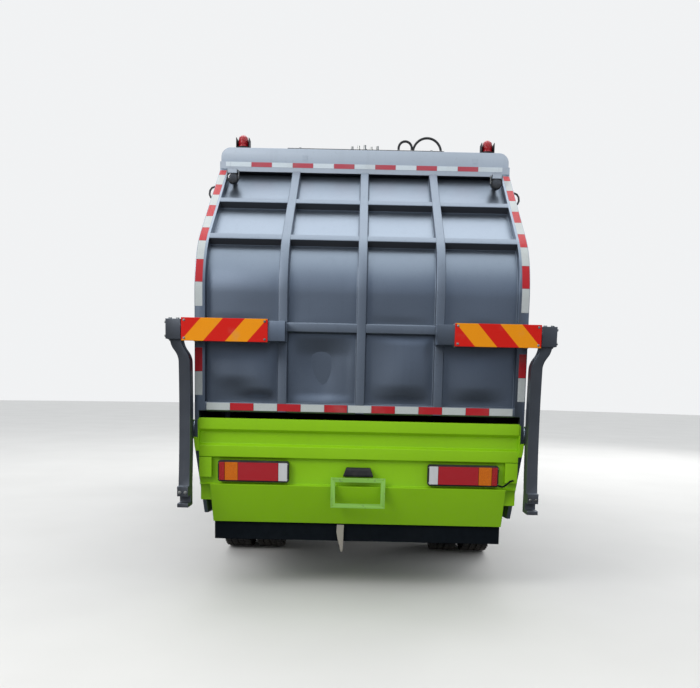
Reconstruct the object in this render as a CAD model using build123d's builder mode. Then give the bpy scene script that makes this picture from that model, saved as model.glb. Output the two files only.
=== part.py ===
from build123d import *
from math import cos, radians, sin, tan
import os

# Rear-loading garbage truck, cab over engine, forward along +Y, up along +Z.
# The origin is on the ground, under the middle of the whole vehicle. Sizes are in millimetres.

os.makedirs("parts", exist_ok=True)

# Whole vehicle
wheelbase = 4500.0
front_overhang = 1275.0
rear_axle_from_skin = 1670.0
board_reach = 175.0
overall_length = board_reach + rear_axle_from_skin + wheelbase + front_overhang
body_width = 2250.0
half_body = body_width / 2
front_y = overall_length / 2

# Tailgate, measured forward from the outer face of its ribbed skin
skin_y = -front_y + board_reach
gate_depth = 1100.0
gate_low_z = 1280.0
gate_bend_z = 2080.0
gate_bend_radius = 550.0
gate_lean = 50.0
body_top_z = 3150.0
gate_rise = 33.0
gate_top_z = body_top_z + gate_rise
header_height = 117.0
header_depth = 110.0
header_corner = 75.0
joint_gap = 12.0
plate_wall = 28.0
post_width = 70.0
skin_recess = 57.0
skin_wall = 8.0
rib_width = 62.0
rib_x = 530.0
gate_bottom_z = 500.0

# Wheels and axles
tyre_radius = 480.0
tyre_width = 235.0
tyre_chamfer = 26.0
rim_radius = 262.0
rim_wall = 12.0
disc_wall = 14.0
front_track = 1800.0
twin_outer_width = 2330.0
twin_spacing = 280.0
rear_axle_y = skin_y + rear_axle_from_skin
front_axle_y = rear_axle_y + wheelbase
kingpin_x = 730.0
spindle_radius = 38.0
running_fit = 0.05

# Chassis
rail_width = 860.0
rail_height = 220.0
rail_flange = 72.0
rail_wall = 9.0
rail_top_z = 880.0
bed_z = 1050.0

# Load body
body_wall = 40.0
body_rib = 30.0
body_corner = 90.0
body_rear_y = skin_y + gate_depth + joint_gap

# Cab
cab_width = 2200.0
cab_wall = 60.0
cab_length = 1795.0
cab_to_body = 130.0
cab_front_y = front_y - 25.0
cab_back_y = cab_front_y - cab_length
body_front_y = cab_back_y - cab_to_body
cab_floor_z = 1000.0
cab_sill_z = 750.0
cab_top_z = 2640.0
glass_wall = 6.0
door_gap = 6.0

half_cab = cab_width / 2
half_rail = rail_width / 2

# Ladder frame of two channel rails with cross members
rail_rear_y = body_rear_y + 90.0
rail_front_y = front_y - 210.0
cross_radius = 45.0
cross_from_axle = 1650.0
rail_middle_z = rail_top_z - rail_height / 2
end_plate_wall = 12.0
cross_places = (
    rail_rear_y + 2 * cross_radius,
    rear_axle_y + 700.0,
    front_axle_y - cross_from_axle,
    rail_front_y - 2 * cross_radius,
)
# The cab tilts on a pin held by a fork at the front end of each rail
tilt_y = cab_front_y - 45.0
tilt_z = cab_sill_z - 25.0
tilt_x = half_rail - rail_flange / 2
tilt_pin_radius = 10.0
tilt_eye_radius = 20.0
tilt_lug_wall = 24.0
tilt_fork_wall = 14.0
tilt_fork_gap = 3.0
with BuildPart() as frame_rails:
    with BuildSketch(Plane.XZ.offset(-rail_rear_y)):
        for side in (-1, 1):
            with Locations((side * (half_rail - rail_flange / 2), rail_top_z - rail_height / 2)):
                Rectangle(rail_flange, rail_height)
            inner_x = half_rail - (rail_flange + rail_wall) / 2
            with Locations((side * inner_x, rail_top_z - rail_height / 2)):
                Rectangle(rail_flange - rail_wall, rail_height - 2 * rail_wall, mode=Mode.SUBTRACT)
    extrude(amount=-(rail_front_y - rail_rear_y))
    for cross_y in cross_places:
        with Locations(Location((0, cross_y, rail_middle_z), (0, 90, 0))):
            Cylinder(cross_radius, rail_width - 2 * rail_wall)
    for side in (-1, 1):
        with Locations((side * tilt_x, rail_front_y, rail_middle_z)):
            Box(rail_flange, end_plate_wall, rail_height)
        for cheek in (-1, 1):
            cheek_x = side * tilt_x + cheek * (tilt_lug_wall + tilt_fork_wall + 2 * tilt_fork_gap) / 2
            with BuildSketch(Plane.YZ.offset(cheek_x - tilt_fork_wall / 2)):
                with Locations((tilt_y, tilt_z)):
                    Circle(tilt_eye_radius)
                with Locations((rail_front_y, tilt_z)):
                    Rectangle(tilt_y - rail_front_y, 2 * tilt_eye_radius, align=(Align.MIN, Align.CENTER))
            extrude(amount=tilt_fork_wall)
        with Locations(Location((side * tilt_x, tilt_y, tilt_z), (0, 90, 0))):
            Cylinder(tilt_pin_radius, rail_flange)
frame_rails.part.label = "frame_rails"
export_step(frame_rails.part, "parts/frame_rails.step")

# Engine and gearbox as one plain block on the rails
engine_width = 640.0
engine_length = 1150.0
engine_height = 470.0
engine_low_z = 470.0
engine_y = front_axle_y + 180.0
gearbox_length = 620.0
gearbox_radius = 170.0
with BuildPart() as engine_block:
    with Locations((0, engine_y, engine_low_z + engine_height / 2)):
        Box(engine_width, engine_length, engine_height)
    chamfer(engine_block.edges().filter_by(Axis.Y), 60)
    with BuildSketch(Plane.XZ.offset(-(engine_y - engine_length / 2))):
        with Locations((0, engine_low_z + engine_height / 2)):
            Circle(gearbox_radius)
    extrude(amount=gearbox_length, taper=8)
engine_block.part.label = "engine_block"
export_step(engine_block.part, "parts/engine_block.step")

# Rear axle housing with its bowl, spindle ends and pinion nose
rear_tube_radius = 68.0
bowl_radius = 190.0
bowl_width = 210.0
bowl_slope = 55.0
pinion_radius = 75.0
pinion_length = 90.0
twin_outer_x = twin_outer_width / 2 - tyre_width / 2
twin_inner_x = twin_outer_x - twin_spacing
twin_middle_x = (twin_outer_x + twin_inner_x) / 2
rear_spindle_radius = 55.0
rear_hub_width = 190.0
rear_seat_x = twin_middle_x - rear_hub_width / 2
with BuildPart() as rear_axle:
    with Locations(Location((0, rear_axle_y, tyre_radius), (0, 90, 0))):
        Cylinder(rear_tube_radius, 2 * (rear_seat_x - 6))
        Cylinder(rear_spindle_radius, 2 * (twin_middle_x + rear_hub_width / 2 - 20))
    with BuildSketch(Plane.XY.offset(tyre_radius)):
        with BuildLine():
            Polyline(
                (0, rear_axle_y - bowl_width / 2),
                (bowl_radius - bowl_slope, rear_axle_y - bowl_width / 2),
                (bowl_radius, rear_axle_y - bowl_width / 2 + bowl_slope),
                (bowl_radius, rear_axle_y + bowl_width / 2 - bowl_slope),
                (bowl_radius - bowl_slope, rear_axle_y + bowl_width / 2),
                (0, rear_axle_y + bowl_width / 2),
                close=True,
            )
        make_face()
    revolve(axis=Axis((0, rear_axle_y, tyre_radius), (0, 1, 0)))
    with Locations(Location((0, rear_axle_y + bowl_width / 2 + pinion_length / 2, tyre_radius), (90, 0, 0))):
        Cylinder(pinion_radius, pinion_length)
rear_axle.part.label = "rear_axle"
export_step(rear_axle.part, "parts/rear_axle.step")

# Propeller shaft from the gearbox to the pinion nose
shaft_radius = 45.0
shaft_rear_y = rear_axle_y + bowl_width / 2 + pinion_length
shaft_front_y = engine_y - engine_length / 2 - gearbox_length
shaft_rear_z = tyre_radius
shaft_front_z = engine_low_z + engine_height / 2
with BuildPart() as driveshaft:
    with BuildLine():
        Line((0, shaft_rear_y, shaft_rear_z), (0, shaft_front_y, shaft_front_z))
    with BuildSketch(Plane(origin=(0, shaft_rear_y, shaft_rear_z), z_dir=(0, 1, 0))):
        Circle(shaft_radius)
    sweep()
driveshaft.part.label = "driveshaft"
export_step(driveshaft.part, "parts/driveshaft.step")

# Front axle beam, dropped between its kingpin eyes
beam_height = 90.0
beam_width = 80.0
beam_drop = 90.0
eye_radius = 48.0
kingpin_radius = 22.0
with BuildPart() as front_axle:
    with BuildSketch(Plane.XZ.offset(-(front_axle_y - beam_width / 2))):
        with BuildLine():
            Polyline(
                (-kingpin_x, tyre_radius + beam_height / 2),
                (-kingpin_x + 110, tyre_radius + beam_height / 2),
                (-kingpin_x + 220, tyre_radius + beam_height / 2 - beam_drop),
                (kingpin_x - 220, tyre_radius + beam_height / 2 - beam_drop),
                (kingpin_x - 110, tyre_radius + beam_height / 2),
                (kingpin_x, tyre_radius + beam_height / 2),
                (kingpin_x, tyre_radius - beam_height / 2),
                (kingpin_x - 80, tyre_radius - beam_height / 2),
                (kingpin_x - 190, tyre_radius - beam_height / 2 - beam_drop),
                (-kingpin_x + 190, tyre_radius - beam_height / 2 - beam_drop),
                (-kingpin_x + 80, tyre_radius - beam_height / 2),
                (-kingpin_x, tyre_radius - beam_height / 2),
                close=True,
            )
        make_face()
    extrude(amount=-beam_width)
    with Locations((kingpin_x, front_axle_y, tyre_radius), (-kingpin_x, front_axle_y, tyre_radius)):
        Cylinder(eye_radius, beam_height)
        Cylinder(kingpin_radius + running_fit, beam_height, mode=Mode.SUBTRACT)
front_axle.part.label = "front_axle"
export_step(front_axle.part, "parts/front_axle.step")

# Leaf springs: two packs at each axle, with hangers up to the rails
spring_width = 70.0
spring_wall = 60.0
spring_rise = 70.0
hanger_length = 90.0
spring_rows = [
    # axle_y, spring_x, half_length, seat_z
    (front_axle_y, half_rail - 35, 640, tyre_radius + beam_height / 2 - beam_drop),
    (rear_axle_y, half_rail + 50, 470, tyre_radius + rear_tube_radius),
]
with BuildPart() as leaf_springs:
    for axle_y, spring_x, half_length, seat_z in spring_rows:
        end_z = seat_z + spring_rise
        for side in (-1, 1):
            with BuildSketch(Plane.YZ.offset(side * spring_x - spring_width / 2)):
                with BuildLine():
                    low = ThreePointArc(
                        (axle_y - half_length, end_z), (axle_y, seat_z), (axle_y + half_length, end_z)
                    )
                    high = ThreePointArc(
                        (axle_y - half_length, end_z + spring_wall / 2),
                        (axle_y, seat_z + spring_wall),
                        (axle_y + half_length, end_z + spring_wall / 2),
                    )
                    Line(low @ 0, high @ 0)
                    Line(low @ 1, high @ 1)
                make_face()
                for end_y in (axle_y - half_length, axle_y + half_length):
                    with Locations((end_y, (end_z + rail_top_z - 40) / 2)):
                        Rectangle(hanger_length, rail_top_z - 40 - end_z)
            extrude(amount=spring_width)
    with BuildSketch(Plane.XZ.offset(-rail_rear_y)):
        for side in (-1, 1):
            with Locations((side * (half_rail - rail_flange / 2), rail_top_z - rail_height / 2)):
                Rectangle(rail_flange, rail_height)
    extrude(amount=-(rail_front_y - rail_rear_y), mode=Mode.SUBTRACT)
leaf_springs.part.label = "leaf_springs"
export_step(leaf_springs.part, "parts/leaf_springs.step")

# Steering knuckles: a fork round the beam's eye, its kingpin and the wheel spindle
fork_gap = 6.0
fork_wall = 34.0
fork_radius = 50.0
front_hub_width = 150.0
wheel_x = front_track / 2
knuckle_face_x = wheel_x - front_hub_width / 2 - 6
for side, side_name in ((-1, "left"), (1, "right")):
    with BuildPart() as knuckle:
        for level in (-1, 1):
            ear_z = tyre_radius + level * (beam_height / 2 + fork_gap + fork_wall / 2)
            with Locations((side * kingpin_x, front_axle_y, ear_z)):
                Cylinder(fork_radius, fork_wall)
            ear_reach = knuckle_face_x - kingpin_x
            with Locations((side * (kingpin_x + ear_reach / 2), front_axle_y, ear_z)):
                Box(ear_reach, 1.6 * fork_radius, fork_wall)
        with Locations((side * kingpin_x, front_axle_y, tyre_radius)):
            Cylinder(kingpin_radius, beam_height + 2 * fork_gap + fork_wall)
        back_low = kingpin_x + eye_radius + fork_gap
        with Locations((side * (back_low + knuckle_face_x) / 2, front_axle_y, tyre_radius)):
            Box(knuckle_face_x - back_low, 1.6 * fork_radius, beam_height + 2 * (fork_gap + fork_wall))
        with Locations(
            Location((side * (knuckle_face_x + wheel_x + 45) / 2, front_axle_y, tyre_radius), (0, 90, 0))
        ):
            Cylinder(spindle_radius, wheel_x + 45 - knuckle_face_x)
    knuckle.part.label = f"{side_name}_knuckle"
    export_step(knuckle.part, f"parts/{side_name}_knuckle.step")

# Tyres: one each side at the front, a twin pair each side at the rear
wheel_rows = [
    # name, axle_y, side, tyre centres
    ("front_left", front_axle_y, -1, (wheel_x,)),
    ("front_right", front_axle_y, 1, (wheel_x,)),
    ("rear_left", rear_axle_y, -1, (twin_inner_x, twin_outer_x)),
    ("rear_right", rear_axle_y, 1, (twin_inner_x, twin_outer_x)),
]
bead_width = tyre_width - 46
bulge_radius = tyre_radius - 105
for name, axle_y, side, centres in wheel_rows:
    with BuildPart() as tyre:
        with BuildSketch(Plane.XZ.offset(-axle_y)):
            for centre in centres:
                with BuildLine():
                    half_row = (
                        (-bead_width / 2, rim_radius),
                        (-tyre_width / 2, bulge_radius),
                        (-tyre_width / 2 + 8, tyre_radius - tyre_chamfer),
                        (-tyre_width / 2 + 8 + tyre_chamfer, tyre_radius),
                    )
                    other_row = [(-x, r) for x, r in reversed(half_row)]
                    Polyline(
                        [(side * centre + x, tyre_radius + r) for x, r in (*half_row, *other_row)],
                        close=True,
                    )
                make_face()
        revolve(axis=Axis((0, axle_y, tyre_radius), (1, 0, 0)))
    tyre.part.label = f"{name}_tyre"
    export_step(tyre.part, f"parts/{name}_tyre.step")

# Rims: a barrel in each tyre, a dished disc with hand holes and a hub on the spindle
hand_hole_radius = 30.0
hand_hole_circle = 182.0
hand_hole_count = 8
hub_radius = 112.0
front_disc_step = 20.0
for name, axle_y, side, centres in wheel_rows:
    twin = len(centres) == 2
    hub_width = rear_hub_width if twin else front_hub_width
    hub_x = side * (twin_middle_x if twin else wheel_x)
    bore_radius = (rear_spindle_radius if twin else spindle_radius) + running_fit
    with BuildPart() as rim:
        with BuildSketch(Plane.XZ.offset(-axle_y)):
            for centre in centres:
                with Locations((side * centre, tyre_radius + rim_radius - rim_wall / 2)):
                    Rectangle(bead_width, rim_wall)
            disc_step = (twin_spacing - bead_width + disc_wall) / 2
            disc_x = [hub_x - disc_step, hub_x + disc_step] if twin else [hub_x + side * front_disc_step]
            for x in disc_x:
                with Locations((x, tyre_radius + (rim_radius + bore_radius) / 2)):
                    Rectangle(disc_wall, rim_radius - bore_radius)
            with Locations((hub_x, tyre_radius + (hub_radius + bore_radius) / 2)):
                Rectangle(hub_width, hub_radius - bore_radius)
        revolve(axis=Axis((0, axle_y, tyre_radius), (1, 0, 0)))
        with BuildSketch(Plane.YZ.offset(hub_x - hub_width / 2)):
            with Locations((axle_y, tyre_radius)):
                with PolarLocations(hand_hole_circle, hand_hole_count):
                    Circle(hand_hole_radius)
        extrude(amount=hub_width, mode=Mode.SUBTRACT)
    rim.part.label = f"{name}_rim"
    export_step(rim.part, f"parts/{name}_rim.step")

# Fuel tank on the right, battery box and air tanks on the left, strapped under the rails
tank_x = half_rail + 240.0
tank_length = 900.0
tank_from_axle = 2050.0
tank_y = front_axle_y - tank_from_axle
tank_height = 400.0
tank_depth = 400.0
strap_width = 50.0
with BuildPart() as fuel_tank:
    with Locations((tank_x, tank_y, rail_top_z - 60 - tank_height / 2)):
        Box(tank_depth, tank_length, tank_height)
    fillet(fuel_tank.edges().filter_by(Axis.Y), 70)
    for strap_y in (tank_y - tank_length / 3, tank_y + tank_length / 3):
        with Locations(((half_rail + tank_x - tank_depth / 2) / 2, strap_y, rail_top_z - 120)):
            Box(tank_x - tank_depth / 2 - half_rail, strap_width, 100)
fuel_tank.part.label = "fuel_tank"
export_step(fuel_tank.part, "parts/fuel_tank.step")

battery_size = (300.0, 560.0, 330.0)
battery_y = tank_y + 300.0
battery_drop = 70.0
battery_z = rail_top_z - battery_drop - battery_size[2] / 2
with BuildPart() as battery_box:
    with Locations((-half_rail - battery_size[0] / 2, battery_y, battery_z)):
        Box(*battery_size)
    chamfer(battery_box.edges().filter_by(Axis.Y), 20)
battery_box.part.label = "battery_box"
export_step(battery_box.part, "parts/battery_box.step")

air_tank_radius = 125.0
air_tank_length = 700.0
air_tank_y = tank_y - 480.0
with BuildPart() as air_tanks:
    air_tank_x = -half_rail - 40 - air_tank_radius
    with Locations(Location((air_tank_x, air_tank_y, rail_top_z - 90 - air_tank_radius), (90, 0, 0))):
        Cylinder(air_tank_radius, air_tank_length)
    chamfer(air_tanks.edges().filter_by(GeomType.CIRCLE), 40)
    for strap_y in (air_tank_y - 200, air_tank_y + 200):
        with Locations((-half_rail - 45, strap_y, rail_top_z - 90 - air_tank_radius)):
            Box(90, strap_width, 60)
air_tanks.part.label = "air_tanks"
export_step(air_tanks.part, "parts/air_tanks.step")

# Exhaust silencer along the right rail behind the front wheel, with its outlet at its side
silencer_radius = 115.0
silencer_length = 560.0
silencer_x = half_rail + 30 + silencer_radius
silencer_y = front_axle_y - 1010.0
silencer_z = rail_top_z - 100 - silencer_radius
tail_pipe_radius = 38.0
tail_pipe_length = 200.0
with BuildPart() as silencer:
    with Locations(Location((silencer_x, silencer_y, silencer_z), (90, 0, 0))):
        Cylinder(silencer_radius, silencer_length)
    chamfer(silencer.edges().filter_by(GeomType.CIRCLE), 25)
    for strap_y in (silencer_y - silencer_length / 4, silencer_y + silencer_length / 4):
        with Locations(((half_rail + silencer_x) / 2, strap_y, silencer_z + silencer_radius / 2)):
            Box(silencer_x - half_rail, strap_width, silencer_radius)
    with Locations(Location((silencer_x + silencer_radius, silencer_y, silencer_z), (0, 90, 0))):
        Cylinder(tail_pipe_radius, tail_pipe_length)
        with Locations((0, 0, tail_pipe_length / 4)):
            Cylinder(tail_pipe_radius - 4, tail_pipe_length / 2, mode=Mode.SUBTRACT)
silencer.part.label = "silencer"
export_step(silencer.part, "parts/silencer.step")

# Rear mudguards, an arch over each twin pair, hung from the load body
guard_gap = 50.0
guard_wall = 8.0
guard_width = twin_outer_width / 2 - (twin_inner_x - tyre_width / 2) + 10
guard_x = (twin_outer_x + twin_inner_x) / 2 + 5
guard_low_z = 610.0
guard_radius = tyre_radius + guard_gap
with BuildPart() as rear_mudguards:
    for side in (-1, 1):
        with BuildSketch(Plane.YZ.offset(side * guard_x - guard_width / 2)):
            with Locations((rear_axle_y, tyre_radius)):
                Circle(guard_radius + guard_wall)
                Circle(guard_radius, mode=Mode.SUBTRACT)
            with Locations((rear_axle_y, guard_low_z - guard_radius)):
                Rectangle(4 * guard_radius, 2 * guard_radius, mode=Mode.SUBTRACT)
        extrude(amount=guard_width)
    with Locations(*[(side * (half_rail + 190), rear_axle_y, bed_z - 20) for side in (-1, 1)]):
        Box(260, 60, 40)
    with BuildSketch(Plane.YZ.offset(-half_body)):
        with Locations((rear_axle_y, tyre_radius)):
            Circle(guard_radius)
    extrude(amount=body_width, mode=Mode.SUBTRACT)
rear_mudguards.part.label = "rear_mudguards"
export_step(rear_mudguards.part, "parts/rear_mudguards.step")

# Side guards, two rails each side on posts between the wheels
side_rail_height = 100.0
side_rail_x = half_body - 25.0
side_rear_y = rear_axle_y + guard_radius + 90
side_front_y = body_front_y - 160
side_rail_zs = (560.0, 800.0)
with BuildPart() as side_guards:
    for side in (-1, 1):
        for rail_z in side_rail_zs:
            with Locations((side * side_rail_x, (side_rear_y + side_front_y) / 2, rail_z)):
                Box(26, side_front_y - side_rear_y, side_rail_height)
        for post_y in (side_rear_y + 150, (side_rear_y + side_front_y) / 2, side_front_y - 150):
            with Locations((side * (side_rail_x - 33), post_y, (bed_z + side_rail_zs[0] - 50) / 2)):
                Box(40, 50, bed_z - side_rail_zs[0] + 50)
side_guards.part.label = "side_guards"
export_step(side_guards.part, "parts/side_guards.step")

# Front bumper, wrapped round the corners, with lamp pockets and a towing pin bore
bumper_low_z = 400.0
bumper_height = 290.0
bumper_side_length = 520.0
bumper_wall = 40.0
lamp_width = 330.0
lamp_height = 150.0
lamp_x = half_cab - 250.0
lamp_pocket = 30.0
tow_bore_radius = 20.0
tow_width = 120.0
with BuildPart() as front_bumper:
    with BuildSketch(Plane.XY.offset(bumper_low_z)):
        with BuildLine():
            Polyline(
                (-half_cab, front_y - bumper_side_length),
                (-half_cab, front_y - 170),
                (-half_cab + 130, front_y - 20),
                (-half_cab + 420, front_y),
                (half_cab - 420, front_y),
                (half_cab - 130, front_y - 20),
                (half_cab, front_y - 170),
                (half_cab, front_y - bumper_side_length),
                close=True,
            )
        make_face()
    extrude(amount=bumper_height)
    with Locations((0, rail_front_y - 300, bumper_low_z + bumper_height / 2)):
        Box(body_width, 2 * (300 + 30), bumper_height, mode=Mode.SUBTRACT)
    with BuildSketch(Plane.XY.offset(bumper_low_z)):
        for side in (-1, 1):
            with Locations((side * (half_cab - bumper_wall / 2), front_y - bumper_side_length / 2 - 60)):
                Rectangle(bumper_wall, bumper_side_length - 120)
    extrude(amount=bumper_height)
    chamfer(front_bumper.edges().filter_by(Axis.X).group_by(Axis.Y)[-1], 25)
    for side in (-1, 1):
        with Locations((side * lamp_x, front_y, bumper_low_z + bumper_height / 2)):
            Box(lamp_width + 8, 2 * (90 + lamp_pocket), lamp_height + 8, mode=Mode.SUBTRACT)
    with Locations((0, front_y, bumper_low_z + bumper_height / 2)):
        Box(tow_width, 160, 70, mode=Mode.SUBTRACT)
    with Locations((0, front_y - 45, bumper_low_z + bumper_height / 2)):
        Cylinder(tow_bore_radius, bumper_height + 10, mode=Mode.SUBTRACT)
    for side in (-1, 1):
        with Locations((side * (half_rail - rail_flange / 2), rail_front_y - 120, bumper_low_z + 220)):
            Box(rail_flange, 320, 80)
front_bumper.part.label = "front_bumper"
export_step(front_bumper.part, "parts/front_bumper.step")

with BuildPart() as headlamps:
    for side in (-1, 1):
        lamp_front_y = front_y - 45
        lamp_back_y = front_y - 90 - lamp_pocket
        with Locations((side * lamp_x, (lamp_front_y + lamp_back_y) / 2, bumper_low_z + bumper_height / 2)):
            Box(lamp_width, lamp_front_y - lamp_back_y, lamp_height)
    chamfer(headlamps.edges().filter_by(Axis.Y), 18)
headlamps.part.label = "headlamps"
export_step(headlamps.part, "parts/headlamps.step")

# Load body, a ribbed box open at the rear, on its own bed rails
panel_half = half_body - body_rib
body_length = body_front_y - body_rear_y
rib_length = 70.0
rib_count = 7
bed_rail_width = 80.0
hinge_forward = 60.0
hinge_y = skin_y + gate_depth + hinge_forward
hinge_z = body_top_z + 75.0
hinge_pin_radius = 20.0
ear_radius = 42.0
ear_wall = 30.0
knuckle_width = 60.0
hinge_from_side = 505.0
hinge_places = (hinge_from_side - half_body, half_body - hinge_from_side)
lift_foot_reach = 2300.0
lift_eye_reach = 750.0
lift_foot = (skin_y + lift_foot_reach, 1750.0)
lift_eye = (skin_y + lift_eye_reach, 2550.0)
lift_boss_radius = 62.0
lift_pin_radius = 22.0
lift_plane_x = half_body + 52.0
lift_eye_width = 60.0
with BuildPart() as body_box:
    with BuildSketch(Plane.XZ.offset(-body_rear_y)) as panel_section:
        with Locations((0, bed_z)):
            Rectangle(2 * panel_half, body_top_z - body_rib - bed_z, align=(Align.CENTER, Align.MIN))
        fillet(panel_section.vertices().group_by(Axis.Y)[-1], body_corner)
    extrude(amount=-body_length)
    for index in range(rib_count):
        rib_y = body_rear_y + index * (body_length - rib_length) / (rib_count - 1)
        with BuildSketch(Plane.XZ.offset(-rib_y)) as rib_section:
            with Locations((0, bed_z)):
                Rectangle(body_width, body_top_z - bed_z, align=(Align.CENTER, Align.MIN))
            fillet(rib_section.vertices().group_by(Axis.Y)[-1], body_corner + body_rib)
        extrude(amount=-rib_length)
    with BuildSketch(Plane.XZ.offset(-body_rear_y)) as cavity_section:
        with Locations((0, bed_z + body_wall)):
            Rectangle(
                2 * (panel_half - body_wall),
                body_top_z - body_rib - bed_z - 2 * body_wall,
                align=(Align.CENTER, Align.MIN),
            )
        fillet(cavity_section.vertices().group_by(Axis.Y)[-1], body_corner - body_wall)
    extrude(amount=-(body_length - body_wall), mode=Mode.SUBTRACT)
    for side in (-1, 1):
        bed_rail_x = side * (half_rail - bed_rail_width / 2)
        with Locations((bed_rail_x, (body_rear_y + body_front_y) / 2, (rail_top_z + bed_z) / 2)):
            Box(bed_rail_width, body_length, bed_z - rail_top_z)
    for place in hinge_places:
        for side in (-1, 1):
            ear_x = place + side * (knuckle_width / 2 + 3 + ear_wall / 2)
            with BuildSketch(Plane.YZ.offset(ear_x - ear_wall / 2)):
                with Locations((hinge_y, hinge_z)):
                    Circle(ear_radius)
                with BuildLine():
                    Polyline(
                        (hinge_y - ear_radius, hinge_z),
                        (hinge_y + ear_radius, hinge_z),
                        (hinge_y + 3 * ear_radius, body_top_z - body_rib),
                        (hinge_y - ear_radius, body_top_z - body_rib),
                        close=True,
                    )
                make_face()
            extrude(amount=ear_wall)
        with Locations(Location((place, hinge_y, hinge_z), (0, 90, 0))):
            Cylinder(hinge_pin_radius, knuckle_width + 6 + 2 * ear_wall)
    for side in (-1, 1):
        with Locations(Location((side * (panel_half + half_body + 6) / 2, *lift_foot), (0, 90, 0))):
            Cylinder(lift_boss_radius, half_body + 6 - panel_half)
        pin_end = lift_plane_x + lift_eye_width / 2 + 10
        with Locations(Location((side * (panel_half + pin_end) / 2, *lift_foot), (0, 90, 0))):
            Cylinder(lift_pin_radius, pin_end - panel_half)
body_box.part.label = "body_box"
export_step(body_box.part, "parts/body_box.step")

# Ejector plate inside the load body
ejector_gap = 15.0
ejector_wall = 90.0
ejector_y = body_front_y - 330.0
ejector_half = panel_half - body_wall - ejector_gap
ejector_low_z = bed_z + body_wall + ejector_gap
ejector_top_z = body_top_z - body_rib - body_wall - ejector_gap
with BuildPart() as ejector_plate:
    with BuildSketch(Plane.YZ.offset(-ejector_half)):
        with BuildLine():
            Polyline(
                (ejector_y - 260, ejector_low_z),
                (ejector_y - 260 + ejector_wall, ejector_low_z),
                (ejector_y - 60 + ejector_wall, ejector_low_z + 900),
                (ejector_y - 60 + ejector_wall, ejector_top_z),
                (ejector_y - 60, ejector_top_z),
                (ejector_y - 60, ejector_low_z + 900),
                close=True,
            )
        make_face()
    extrude(amount=2 * ejector_half)
    for place in (-600, 0, 600):
        with BuildSketch(Plane.YZ.offset(place - 20)):
            with BuildLine():
                Polyline(
                    (ejector_y - 260 + ejector_wall, ejector_low_z),
                    (ejector_y + 260, ejector_low_z),
                    (ejector_y + 260, ejector_low_z + 120),
                    (ejector_y - 60 + ejector_wall, ejector_top_z - 200),
                    (ejector_y - 60 + ejector_wall, ejector_low_z + 900),
                    close=True,
                )
            make_face()
        extrude(amount=40)
    chamfer(ejector_plate.edges().filter_by(Axis.Y).group_by(Axis.Z)[-1], body_corner - body_wall)
ejector_plate.part.label = "ejector_plate"
export_step(ejector_plate.part, "parts/ejector_plate.step")

# Cab shell: one hollow profile with windscreen, door, grille and rear window openings
screen_low = (cab_front_y - 45.0, 1640.0)
screen_top_y = cab_front_y - 470.0
arch_radius = 650.0
arch_y_low = front_axle_y + (arch_radius**2 - (cab_sill_z - tyre_radius) ** 2) ** 0.5
arch_y_high = front_axle_y + (arch_radius**2 - (cab_floor_z - tyre_radius) ** 2) ** 0.5
arch_mid = radians(38)
screen_half = half_cab - 130.0
screen_margin = 60.0
grille_half = 680.0
grille_low_z = 900.0
grille_height = 520.0
door_rear_y = cab_back_y + 340.0
door_front_y = cab_front_y - 340.0
door_low_z = cab_floor_z + 30.0
door_belt_z = 1720.0
door_top_z = cab_top_z - 160.0
pillar_top_y = screen_top_y - 160.0
door_frame = 85.0
door_outline = [
    (door_rear_y, door_low_z),
    (door_front_y, door_low_z),
    (door_front_y, door_belt_z),
    (pillar_top_y, door_top_z),
    (door_rear_y, door_top_z),
]
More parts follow.
